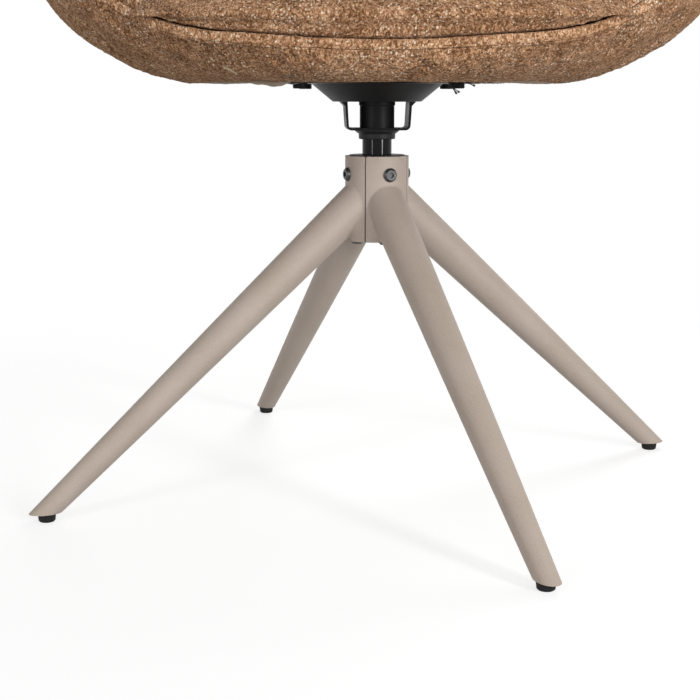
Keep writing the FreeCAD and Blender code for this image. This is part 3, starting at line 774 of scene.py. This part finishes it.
padSetup = {
    # node: angles of its two ends, columns
    "panels": (("inner_arm_pad_right", 45.0, 118.0, 251), ("inner_back_pad", 118.0, 242.0, 421),
               ("inner_arm_pad_left", 242.0, 315.0, 251)),
    "footHeight": 0.446,
    "footBelow": 0.012,      # and at least this far below the shoulder
    "rollRows": 18,
    "wallRows": 80,
    "backRows": 10,
    "faceRows": 92,
    "seamGap": (0.0005, 0.0012),
    "roll": (0.45, 0.004),   # how far the shoulder rolls: a share of the wall, and a length
    "curveReach": 0.56,
    "crown": 0.005,
    "crownReach": 0.09,
    "tuck": 0.0035,
    "frontBulge": 0.012,     # the arm pads' front ends stand out over the band
    "bulgeAngles": (50.0, 80.0),
    "bulgeReach": 0.03,
    "endRoll": 0.013,        # how far from its end seams a panel rounds off, and by how much
    "endDepth": 0.006,
    "backDrop": 0.010,
    "backGap": 0.0016,
    "free": 0.03,
    "pressure": 2.5,
    "cap": 0.007,
    "lumps": ((0.07, 31, 0.0012), (0.025, 32, 0.0006)),
    "pinches": (0.025, 0.019, 33, 0.0011, 0.004),
    "pileSeed": 9,
    "endFolds": (0.012, 36, 0.0008, 0.018, 0.004),     # size, seed, depth, reach, where they start
}


def makeInnerPad(node, start, end, columns):
    # one panel: its face is the inside of the wall, crowned and rounded off at all its seams
    c = padSetup
    b = bucket
    phi = np.radians(np.linspace(start, end, columns))
    s = bucketSection(phi)
    gap, lift = c["seamGap"]
    edge = onCrest(s, s.half + gap, lift)
    rollShare, rollLeast = c["roll"]
    shoulder = edge[:, 1] - (rollShare * s.wall * s.ridge + rollLeast)
    foot = np.minimum(c["footHeight"], shoulder - c["footBelow"])
    toEnd = np.minimum(phi - phi[0], phi[-1] - phi) * outerRadius(s, foot)
    near = 1.0 - np.clip(toEnd / c["endRoll"], 0.0, 1.0)
    ends = c["endDepth"] * (1.0 - np.sqrt(1.0 - 0.98 * near * near))
    crown = c["crown"] * smoothStep(toEnd / c["crownReach"])
    t = shares(c["wallRows"])
    height = between(shoulder, foot, t)
    inward = s.padShare * s.wall + crown * np.sin(math.pi * t) ** 0.7 - ends
    wall = pair(outerRadius(s, height) - inward, height)
    reach = c["curveReach"] * apart(edge, wall[0])[:, None]
    bulge = c["frontBulge"] * (1.0 - ease(s.folded, *c["bulgeAngles"])) * smoothStep(toEnd / c["bulgeReach"])
    bulge = bulge[:, None] * s.out
    above = wall[0] + pair(s.lean, 1.0) * reach + bulge
    top = bezierRows(edge, edge + s.along * reach + bulge, above, wall[0], c["rollRows"])
    tuck = [onCrest(s, s.half - 0.0002, -c["tuck"] * share) for share in (1.0, 0.35)]
    level = between(foot, edge[:, 1] - c["backDrop"], shares(c["backRows"]))
    back = pair(outerRadius(s, level) - b["coreShare"] * s.wall - c["backGap"], level)
    face = evenRows(np.concatenate([top[:-1], wall]), c["faceRows"])
    points = placed(s, np.concatenate([np.stack(tuck), face, back]))
    first = len(tuck)
    last = first + c["faceRows"]
    skin = points[first:last]
    toTop = apart(skin, skin[0])
    toFoot = apart(skin, skin[-1])
    free = smoothStep(np.minimum(np.minimum(toTop, toFoot), toEnd) / c["free"])
    skin, normal = paddedSkin(skin, free, -fromAxis(skin), False, c)
    size, seed, depth, fades, starts = c["endFolds"]
    upright = valueNoise(skin * np.array([0.0, 0.0, 1.0]), size, seed)
    folds = upright * depth * np.exp(-toEnd / fades) * smoothStep(toEnd / starts)
    points[first:last] = skin + normal * (unevenness(s, skin, toTop, c) + folds)[..., None]
    pad = gridMesh(node + "_upholstery", points, True, False, capEnds=True)
    dress(pad, "chenille", node)


cushionSetup = {
    "columns": 420,
    "top": 0.481,
    "bottom": 0.4135,
    "wide": (0.258, 0.2575, 0.206),
    "widestHeight": 0.447,
    "tuckHeight": 0.428,
    "lowHeight": 0.4195,
    "crown": ((0.0, 0.0), (0.40, 0.0008), (0.68, 0.0045), (0.89, 0.0120)),   # share of the radius, drop
    "frontAngles": (46.0, 61.0),        # in front of them the band carries the cushion's edge
    "besideAngles": (38.0, 52.0),       # behind them the arm pads stand beside the cushion
    "overSeam": 0.0105,
    "spans": (14, 12, 14, 16, 12, 5, 5, 6, 10),
    "skinSpans": 6,
    "free": (0.006, 0.045, 0.452, 0.02),
    "pressure": 3.0,
    "cap": 0.008,
    "lumps": ((0.05, 41, 0.0014), (0.02, 42, 0.0006)),
    "pinches": (0.02, 0.021, 43, 0.0012, 0.003),
    "pileSeed": 10,
}


def cushionRoom(s, height):
    # the largest radius that clears the frame, the cover's edge and the inner pads
    keel = onCrest(s, 0.0, -0.005 - 0.020 * s.ridge)
    layer = outerRadius(s, height)
    openFront = np.where(height > keel[:, 1], keel[:, 0], layer - bucket["coreShare"] * s.wall)
    beside = layer - s.padShare * s.wall
    return between(openFront, beside, ease(s.folded, *cushionSetup["besideAngles"])) - bucket["cushionGap"]


def makeCushion():
    # crowned rows from the pole on top out to the widest point, then in to the seam and below
    c = cushionSetup
    s = wholeRound(c["columns"])
    front = 1.0 - ease(s.folded, *c["frontAngles"])
    inside = np.minimum(planRadius(c["wide"], s.phi), cushionRoom(s, c["widestHeight"]))
    seam = onCrest(s, s.half + 0.0004, -0.0008)
    widest = between(inside, seam[:, 0] + c["overSeam"], front)
    widestHeight = c["widestHeight"] + 0.002 * front
    tuckHeight = between(c["tuckHeight"], seam[:, 1] + 0.0008, front)
    tuckRadius = between(cushionRoom(s, c["tuckHeight"]) * 0.985, seam[:, 0] - 0.0015, front)
    below = np.minimum(cushionRoom(s, c["lowHeight"]), tuckRadius - 0.004)
    knots = [pair(share * widest, c["top"] - drop) for share, drop in c["crown"]] + [
        pair(widest, widestHeight),
        pair(0.35 * widest + 0.65 * tuckRadius + 0.0012, 0.38 * widestHeight + 0.62 * tuckHeight),
        pair(tuckRadius, tuckHeight),
        pair(below + 0.001, tuckHeight - 0.0035),
        pair(below - 0.002, c["bottom"] + 0.0008),
        pair(0.0 * below, c["bottom"]),
    ]
    points = placed(s, splineRows(np.stack(knots), c["spans"]))
    last = sum(c["spans"][:c["skinSpans"]])
    skin = points[1:last]
    toSeam = apart(skin, points[last])
    upwards = np.zeros(skin.shape) + np.array([0.0, 0.0, 1.0])
    held, reach, low, rise = c["free"]
    free = smoothStep((toSeam - held) / reach) * smoothStep((skin[..., 2] - low) / rise)
    skin, normal = paddedSkin(skin, free, upwards, True, c)
    fromPole = smoothStep(np.linspace(0.0, 4.0, len(skin)))[:, None]
    points[1:last] = skin + normal * (fromPole * unevenness(s, skin, toSeam, c))[..., None]
    cushion = gridMesh("seat_cushion_upholstery", points[1:-1], False, True, poles=(points[0], points[-1]))
    dress(cushion, "chenille", "seat_cushion")


# The underside: dust cover with its staples, the cover's turned edge and loose thread ends

dustSetup = {
    "rows": 26,
    "columns": 240,
    "inset": 0.0012,
    "clamped": (0.102, 0.114),   # within this square the plate holds the cloth against the board
    "height": 0.3974,
    "sag": 0.0016,
    "gathers": (34.0, 5.0),      # folds in the round, and the swings of their spacing
    "thickness": 0.0003,
    "stapleSpacing": 0.030,
    "stapleInset": 0.010,
    "stapleSway": (0.12, 0.0015, 0.15),      # of the spacing, metres in or out, radians of turn
    "staple": (0.0100, 0.0011, 0.0006),
}


def makeDustCover():
    # a polar grid over the oval, level where it is clamped, sagging and gathered in between
    d = dustSetup
    phi = np.linspace(0.0, 2.0 * math.pi, d["columns"], endpoint=False)
    edge = planRadius(bucket["fold"], phi) - d["inset"]
    t = shares(d["rows"])[1:]
    x = t * edge * np.sin(phi)
    y = bucket["axisY"] - t * edge * np.cos(phi)
    clamp = ease(np.maximum(np.abs(x), np.abs(y)), *d["clamped"])
    folds, swings = d["gathers"]
    gathers = 0.5 + 0.5 * np.sin(phi * folds + 2.0 * np.sin(phi * swings))
    sag = d["sag"] * clamp * (0.35 + 0.65 * np.sin(math.pi * np.clip(t, 0.0, 0.96)) * gathers)
    points = np.stack([x, y, d["height"] - sag], axis=-1)
    middle = [(0.0, bucket["axisY"], d["height"])]
    cloth = gridMesh("dust_cover_cloth", points, False, True, poles=(middle,))
    wall = cloth.modifiers.new("wall", "SOLIDIFY")
    wall.thickness = d["thickness"]
    dress(cloth, "dust_cloth", "dust_cover")
    staples = makeStaples()


def makeStaples():
    # wire crowns, each a bar turned along the edge, a little out of line with its neighbours
    d = dustSetup
    alongSway, inSway, turnSway = d["stapleSway"]
    edge = planRadius(bucket["fold"], np.linspace(0.0, 2.0 * math.pi, 60, endpoint=False))
    count = int(2.0 * math.pi * edge.mean() / d["stapleSpacing"])
    draw = np.random.default_rng(51)
    phi = (np.arange(count) + draw.uniform(-alongSway, alongSway, count)) * 2.0 * math.pi / count
    radius = planRadius(bucket["fold"], phi) - d["stapleInset"] + draw.uniform(-inSway, inSway, count)
    turn = phi + draw.uniform(-turnSway, turnSway, count)
    long, wide, thick = d["staple"]
    # a bar with rounded lower corners: six points around, four rings along, the outer two bent up
    side = np.array([(-0.5, 0.5), (-0.5, -0.2), (-0.25, -0.5), (0.25, -0.5), (0.5, -0.2), (0.5, 0.5)])
    ends = np.array([-0.5, -0.42, 0.42, 0.5])[:, None]
    rise = np.array([0.9, 0.0, 0.0, 0.9])[:, None]
    bar = np.stack(np.broadcast_arrays(ends * long, side[:, 0] * wide, (side[:, 1] + rise) * thick), axis=-1)
    bar = bar.reshape(-1, 3)
    ahead = np.stack([np.cos(turn), np.sin(turn)], axis=-1)
    x = (radius * np.sin(phi))[:, None]
    y = (bucket["axisY"] - radius * np.cos(phi))[:, None]
    places = np.stack([
        x + bar[:, 0] * ahead[:, :1] - bar[:, 1] * ahead[:, 1:],
        y + bar[:, 0] * ahead[:, 1:] + bar[:, 1] * ahead[:, :1],
        d["height"] - d["sag"] - d["thickness"] + 0.0 * x + bar[:, 2]], axis=-1).reshape(-1, 3)
    ring = np.arange(len(side))
    index = np.arange(len(bar)).reshape(len(ends), len(side))
    quads = np.array(gridQuads(np.hstack([index, index[:, :1]])))
    starts = len(bar) * np.arange(count)[:, None]
    faces = (starts[:, None] + quads).reshape(-1, 4).tolist()
    faces += (starts + ring[::-1]).tolist() + (starts + index[-1]).tolist()
    staples = meshPiece("dust_cover_staples", places.tolist(), faces, smooth=False)
    dress(staples, "zinc_steel")
    return staples


edgeSetup = {
    "columns": 320,
    "rows": 12,
    "skin": 0.0005,
    "fade": 4.0,             # degrees over which a strip comes out at its ends
    "outward": (0.010, 38.0, 63.0),     # how far the strips lie further out, between these angles
    "ripple": 0.0003,
    # name: first angle, last angle, start outside the flat part, width, bumps (angle, half width, drop)
    "turned_edge_left": (-66.0, -24.0, 0.000, 0.013, (
        (-35.0, 4.2, 0.0020), (-28.6, 3.6, 0.0032), (-47.0, 7.0, 0.0009), (-57.0, 6.0, 0.0008))),
    "turned_edge_right": (30.0, 68.0, 0.000, 0.012, (
        (40.0, 6.0, 0.0004), (52.0, 7.0, 0.0006), (61.0, 5.0, 0.0004))),
    # black_edge_strip: a black strip in the dust cloth's finish, hanging under the cover's flat underside at
    # the left front
    "black_edge_strip": (-30.0, -21.5, -0.006, 0.010, ((-23.6, 1.4, 0.0016), (-27.0, 2.6, 0.0003))),
}


def makeTurnedEdge(name, slot, material):
    # a flat strip under the swell: its upper side lies on the cover, its lower side hangs in bumps
    c = edgeSetup
    start, end, inset, width, bumps = c[name]
    angle = np.linspace(start, end, c["columns"])
    s = bucketSection(np.radians(angle))
    fade = smoothStep((angle - start) / c["fade"]) * smoothStep((end - angle) / c["fade"])
    drop = c["skin"] * fade
    for middle, half, depth in bumps:
        drop = drop + depth * np.exp(-((angle - middle) / half) ** 4) * fade
    out, outFrom, outTo = c["outward"]
    t = shares(c["rows"])
    radius = s.flat + inset + out * ease(s.folded, outFrom, outTo) + width * t
    share = np.clip((radius - s.flat) / (s.wide - s.flat), 0.0, 1.0)
    height = bucket["underside"] + s.swell * (1.0 - np.sqrt(1.0 - share * share))
    height = np.maximum(height, shownUnderside(s))
    ripple = c["ripple"] * np.sin(angle * 1.9 + 3.0 * t) * fade
    lower = height - 0.0004 - (drop + ripple) * np.sin(math.pi * (0.08 + 0.84 * t)) ** 0.6
    profile = np.concatenate([pair(radius, height + 0.0006), pair(radius, lower)[::-1]])
    strip = gridMesh(name, placed(s, profile), True, False, capEnds=True)
    dress(strip, slot, material=material)


threadSetup = {
    "thickness": 0.00045,
    "knot": 0.00105,
    "knotFrom": (0.6, 0.9),
    "sides": 8,
    "spans": (6, 6, 6),
    "paths": (
        ((0.0620, -0.0920, 0.3946), (0.0648, -0.0930, 0.3905), (0.0670, -0.0934, 0.3876),
         (0.0692, -0.0940, 0.3846)),
        ((0.0648, -0.0930, 0.3905), (0.0678, -0.0924, 0.3886), (0.0700, -0.0920, 0.3872),
         (0.0716, -0.0922, 0.3860)),
        ((0.0770, -0.0900, 0.3946), (0.0800, -0.0905, 0.3939), (0.0830, -0.0902, 0.3927),
         (0.0856, -0.0904, 0.3918)),
    ),
}


def makeThreadEnds():
    # short tubes along smooth paths, with a frayed thicker end
    c = threadSetup
    turn = np.linspace(0.0, 2.0 * math.pi, c["sides"], endpoint=False)[None, :, None]
    places, faces = [], []
    for path in c["paths"]:
        line = splineRows(np.array(path), c["spans"])
        ahead = np.gradient(line, axis=0)
        ahead /= np.linalg.norm(ahead, axis=1, keepdims=True)
        aside = np.cross(ahead, np.array([0.0, 1.0, 0.0]))
        aside /= np.linalg.norm(aside, axis=1, keepdims=True)
        across = np.cross(ahead, aside)
        t = np.linspace(0.0, 1.0, len(line))
        radius = between(c["thickness"], c["knot"], ease(t, *c["knotFrom"]))
        radius[-1] *= 0.4
        ring = np.cos(turn) * aside[:, None] + np.sin(turn) * across[:, None]
        index = np.arange(len(line) * c["sides"]).reshape(len(line), c["sides"]) + len(places)
        places += (line[:, None] + ring * radius[:, None, None]).reshape(-1, 3).tolist()
        faces += gridQuads(np.hstack([index, index[:, :1]]))
        faces += [index[0].tolist()[::-1], index[-1].tolist()]
    dress(meshPiece("loose_thread_ends", places, faces), "dust_cloth")


# Materials

pileLook = {
    "tufts": 820.0,              # scales are in cells for each metre
    "tuftStretch": (1.0, 1.0, 0.70),
    "slubs": 0.72,               # a cell is a slub where its chance is above this
    "sway": 0.0012,
    "swayScale": 90.0,
    "strokes": 1500.0,
    "strokeStretch": (1.0, 1.0, 0.66),
    "yarn": 300.0,
    "fibres": 2600.0,
    "dots": 470.0,
    "dotStretch": (1.0, 1.0, 0.80),
    "dotSize": (0.30, 0.56),
    "dotEdge": 0.12,
    "dotPaleness": (0.55, 1.0),
    "crowds": 21.0,
    "crowding": 1.5,
    "toneShares": (0.46, 0.32, 0.22),
    "heightShares": (0.5, 0.5, 0.25, 0.55),
}


def makePileGroup():
    # Chenille: short upright tufts of yarn with a random tone each, finer strokes in them,
    # and here and there, in crowds, a thick pale slub.
    p = pileLook
    tree, given, out = newGroup("chenillePile", {"Tufts": p["tufts"], "Slubs": p["slubs"]},
                                ("Tone", "Slub", "Height", "Shade"))
    vector = given["Vector"]
    drift = noise(tree, vector, p["swayScale"]).node.outputs["Color"]
    sway = vectorMath(tree, "SUBTRACT", drift, (0.5, 0.5, 0.5))
    sway = addNode(tree, "VectorMath", {0: sway, "Scale": p["sway"]}, operation="SCALE").outputs[0]
    warped = vectorMath(tree, "ADD", vector, sway)
    upright = vectorMath(tree, "MULTIPLY", warped, p["tuftStretch"])
    tuft = cells(tree, upright, given["Tufts"])
    stroke = noise(tree, vectorMath(tree, "MULTIPLY", warped, p["strokeStretch"]), p["strokes"], 2.0, 0.6)
    yarn = noise(tree, upright, p["yarn"], 2.0, 0.6)
    tones = (colorParts(tree, tuft["Color"])[0], mapRange(tree, stroke, 0.28, 0.72),
             mapRange(tree, yarn, 0.25, 0.75))
    tone = weighted(tree, *zip(tones, p["toneShares"]))
    # slubs: few of the cells, as a dot in the middle of each, thickest where they crowd
    dots = cells(tree, vectorMath(tree, "MULTIPLY", warped, p["dotStretch"]), p["dots"])
    chance = colorParts(tree, dots["Color"])
    crowd = math2(tree, "SUBTRACT", noise(tree, vector, p["crowds"]), 0.5)
    wanted = math2(tree, "SUBTRACT", given["Slubs"], math2(tree, "MULTIPLY", crowd, p["crowding"]))
    chosen = math2(tree, "GREATER_THAN", chance[0], wanted)
    size = mapRange(tree, chance[1], 0.0, 1.0, *p["dotSize"])
    near = math2(tree, "SUBTRACT", size, dots["Distance"])
    dot = math2(tree, "MULTIPLY", mapRange(tree, near, 0.0, p["dotEdge"], smooth=True), chosen)
    dot = math2(tree, "MULTIPLY", dot, mapRange(tree, chance[2], 0.0, 1.0, *p["dotPaleness"]))
    dome = mapRange(tree, tuft["Distance"], 0.0, 0.75, 1.0, 0.0)
    fibre = noise(tree, vector, p["fibres"], 1.0)
    height = weighted(tree, *zip((dome, dot, fibre, stroke), p["heightShares"]))
    # Shade is painted shade: it darkens towards the edge of each tuft, where the hollows between the tufts
    # fall in shade
    shade = mapRange(tree, tuft["Distance"], 0.30, 0.85, 1.0, 0.62, smooth=True)
    feed(tree, out, {"Tone": tone, "Slub": dot, "Height": height, "Shade": shade})
    return tree


def makeGrainGroup():
    # fine grain of paint, moulded plastic or metal, with a slow wave of tone under it
    tree, given, out = newGroup("fineGrain", {"Grain": 1400.0, "Wave": 30.0}, ("Grain", "Wave"))
    grain = noise(tree, given["Vector"], given["Grain"], 3.0, 0.6)
    feed(tree, out, {"Grain": grain, "Wave": noise(tree, given["Vector"], given["Wave"])})
    return tree


pileGroup = makePileGroup()
grainGroup = makeGrainGroup()


def grainOn(tree, where, grain, wave):
    values = {"Vector": where, "Grain": grain, "Wave": wave}
    return addNode(tree, "Group", values, node_tree=grainGroup).outputs


chenilleLook = {
    "plain": {"Roughness": 0.95, "Sheen Weight": 0.10, "Sheen Roughness": 0.4,
              "Sheen Tint": (0.95, 0.74, 0.55), "Specular IOR Level": 0.12},
    "tones": ((0.12, (0.060, 0.024, 0.010)), (0.34, (0.180, 0.083, 0.038)), (0.50, (0.350, 0.186, 0.094)),
              (0.68, (0.590, 0.338, 0.186)), (0.88, (0.840, 0.552, 0.350))),
    "slub": (0.90, 0.72, 0.55),
    # between is the colour of the painted shade in the hollows between the tufts
    "between": (0.50, 0.38, 0.30),
    "patches": (38.0, 0.09),     # scale, and how much lighter or darker they are
    "pileDistance": 0.0012,
}


def makeChenille(name, lift, slubs):
    look = chenilleLook
    material, tree, shader = newMaterial(name, look["plain"])
    where = objectPlace(tree)
    tufts = addNode(tree, "Group", {"Vector": where, "Slubs": slubs}, node_tree=pileGroup).outputs
    scale, spread = look["patches"]
    # lift moves every tone lighter or darker; the band's copy is lifted as painted light
    patch = mapRange(tree, noise(tree, where, scale, 3.0, 0.55), 0.3, 0.7, lift - spread, lift + spread)
    color = ramp(tree, math2(tree, "ADD", tufts["Tone"], patch), look["tones"])
    # the tufts' painted shade darkens the colour towards the between colour
    shade = mixColors(tree, tufts["Shade"], look["between"], white)
    color = mixColors(tree, 1.0, color, shade, "MULTIPLY")
    color = mixColors(tree, tufts["Slub"], color, look["slub"])
    feed(tree, shader, {"Base Color": color, "Normal": bump(tree, tufts["Height"], look["pileDistance"])})
    return material


def makePaleEdgeCloth():
    # a flat pale beige weave with faint ribs and specks, paler and greyer than the chenille
    material, tree, shader = newMaterial("chenillePaleEdge", {"Roughness": 0.9, "Specular IOR Level": 0.2})
    where = objectPlace(tree)
    fibres = noise(tree, where, 1700.0, 2.0, 0.6)
    patch = mapRange(tree, noise(tree, where, 80.0), 0.35, 0.65, 0.0, 0.35)
    color = mixColors(tree, fibres, (0.260, 0.190, 0.140), (0.520, 0.420, 0.330))
    color = mixColors(tree, patch, color, (0.30, 0.21, 0.15))
    feed(tree, shader, {"Base Color": color, "Normal": bump(tree, fibres, 0.0003, 0.7)})
    return material


def makePowderCoat():
    material, tree, shader = newMaterial("taupePowderCoat", {"Roughness": 0.52, "Specular IOR Level": 0.42})
    coat = grainOn(tree, objectPlace(tree), 1150.0, 22.0)
    tone = mapRange(tree, coat["Grain"], 0.3, 0.7)
    color = mixColors(tree, tone, (0.362, 0.295, 0.243), (0.440, 0.366, 0.308))
    wave = mapRange(tree, coat["Wave"], 0.35, 0.65, 0.0, 0.22)
    feed(tree, shader, {"Base Color": mixColors(tree, wave, color, (0.50, 0.43, 0.38)),
                        "Roughness": mapRange(tree, coat["Grain"], 0.3, 0.7, 0.60, 0.46),
                        "Normal": bump(tree, coat["Grain"], 0.00022, 0.7)})
    return material


coatedLooks = {
    # slot: name, dark tone, light tone, roughness, its spread, grain scale, bump depth, specular level
    "black_steel": ("satinBlackSteel", (0.006, 0.006, 0.006), (0.013, 0.013, 0.013),
                    0.42, 0.06, 1800.0, 0.00006, 0.10),
    "screw_heads": ("blackOxideScrew", (0.016, 0.016, 0.018), (0.030, 0.031, 0.034),
                    0.36, 0.06, 2200.0, 0.00004, 0.55),
    "gloss_black": ("glossBlackPost", (0.004, 0.004, 0.005), (0.007, 0.007, 0.008),
                    0.10, 0.02, 600.0, 0.00001, 0.14),
    "black_plastic": ("blackNylon", (0.010, 0.010, 0.010), (0.022, 0.022, 0.022),
                      0.50, 0.07, 900.0, 0.00010, 0.20),
    "white_plastic": ("acetal", (0.70, 0.70, 0.67), (0.80, 0.80, 0.77),
                      0.35, 0.05, 500.0, 0.00004, 0.50),
}


def makeCoated(name, dark, light, roughness, spread, grainScale, depth, specular):
    # an even paint or moulded surface: two near tones, a grain in its gloss and a fine bump
    material, tree, shader = newMaterial(name, {"Roughness": roughness, "Specular IOR Level": specular})
    grain = grainOn(tree, objectPlace(tree), grainScale, 40.0)
    rough = mapRange(tree, grain["Wave"], 0.3, 0.7, roughness - spread, roughness + spread)
    feed(tree, shader, {"Base Color": mixColors(tree, grain["Grain"], dark, light), "Roughness": rough,
                        "Normal": bump(tree, grain["Grain"], depth, 0.6)})
    return material


def makeZinc():
    # zinc plate: pale crystals with a little tint, brushed finer than they show
    material, tree, shader = newMaterial("zincPlate", {"Roughness": 0.3, "Metallic": 1.0})
    where = objectPlace(tree)
    tint = colorParts(tree, cells(tree, where, 900.0)["Color"])
    brushed = grainOn(tree, where, 2600.0, 120.0)["Grain"]
    feed(tree, shader, {"Base Color": mixColors(tree, tint[0], (0.52, 0.53, 0.50), (0.66, 0.66, 0.62)),
                        "Roughness": mapRange(tree, tint[1], 0.0, 1.0, 0.24, 0.42),
                        "Normal": bump(tree, brushed, 0.0001, 0.5)})
    return material


plywoodLook = {
    "grain": ((0.25, (0.42, 0.29, 0.17)), (0.55, (0.60, 0.45, 0.29)), (0.8, (0.70, 0.56, 0.39))),
    "darkPly": (0.36, 0.24, 0.14),
    "plies": 0.0028,             # thickness of a dark and a light ply together
}


def makePlywood():
    # birch ply: long grain on the faces, and dark and light plies across the edge
    look = plywoodLook
    material, tree, shader = newMaterial("birchPly", {"Roughness": 0.6})
    where = objectPlace(tree)
    grain = noise(tree, vectorMath(tree, "MULTIPLY", where, (1.0, 0.08, 1.0)), 160.0, 4.0, 0.6)
    height = addNode(tree, "SeparateXYZ", {0: where}).outputs[2]
    plies = math2(tree, "SINE", math2(tree, "MULTIPLY", height, 2.0 * math.pi / look["plies"]))
    dark = mapRange(tree, plies, 0.1, 0.9, 0.0, 0.35)
    color = mixColors(tree, dark, ramp(tree, grain, look["grain"]), look["darkPly"])
    feed(tree, shader, {"Base Color": color, "Normal": bump(tree, grain, 0.0003, 0.5)})
    return material


def makeDustCloth():
    # black non-woven cloth: fused fibres, with rows of small pressed points
    material, tree, shader = newMaterial(
        "dustCloth", {"Roughness": 0.85, "Sheen Weight": 0.15, "Sheen Roughness": 0.5})
    where = objectPlace(tree)
    fibres = noise(tree, where, 1500.0, 3.0, 0.7)
    pressed = mapRange(tree, cells(tree, where, 420.0)["Distance"], 0.16, 0.26, smooth=True)
    height = weighted(tree, (pressed, 1.0), (fibres, 0.8))
    feed(tree, shader, {"Base Color": mixColors(tree, fibres, (0.008, 0.008, 0.008), (0.032, 0.031, 0.030)),
                        "Roughness": mapRange(tree, pressed, 0.0, 1.0, 0.55, 0.88),
                        "Normal": bump(tree, height, 0.00035, 0.8)})
    return material


finishes = {slot: makeCoated(*look) for slot, look in coatedLooks.items()}
finishes.update({
    "powder_coat": makePowderCoat(),
    "zinc_steel": makeZinc(),
    "plywood": makePlywood(),
    "dust_cloth": makeDustCloth(),
    "chenille": makeChenille("chenille", 0.0, 0.76),
    # the band's copy is lifted 0.05 lighter: painted light, for the band catching more light than the cover
    "chenille_band": makeChenille("chenilleBandPaintedLight", 0.05, 0.72),
})
paleEdgeCloth = makePaleEdgeCloth()
print("finishes made")

makeOuterCover()
makeWeltBand()
for panel in padSetup["panels"]:
    makeInnerPad(*panel)
makeCushion()
makeDustCover()
makeTurnedEdge("turned_edge_left", "chenille", paleEdgeCloth)
makeTurnedEdge("turned_edge_right", "chenille", paleEdgeCloth)
makeTurnedEdge("black_edge_strip", "dust_cloth", finishes["dust_cloth"])
makeThreadEnds()

for part in frame["record"]["subparts"]:
    node = cadNodes[part["node"]]
    node.data.materials.clear()
    screws = part["node"] in ("hub_side_screws", "hub_bottom_screws")
    node.data.materials.append(finishes["screw_heads" if screws else part["material_slot"]])
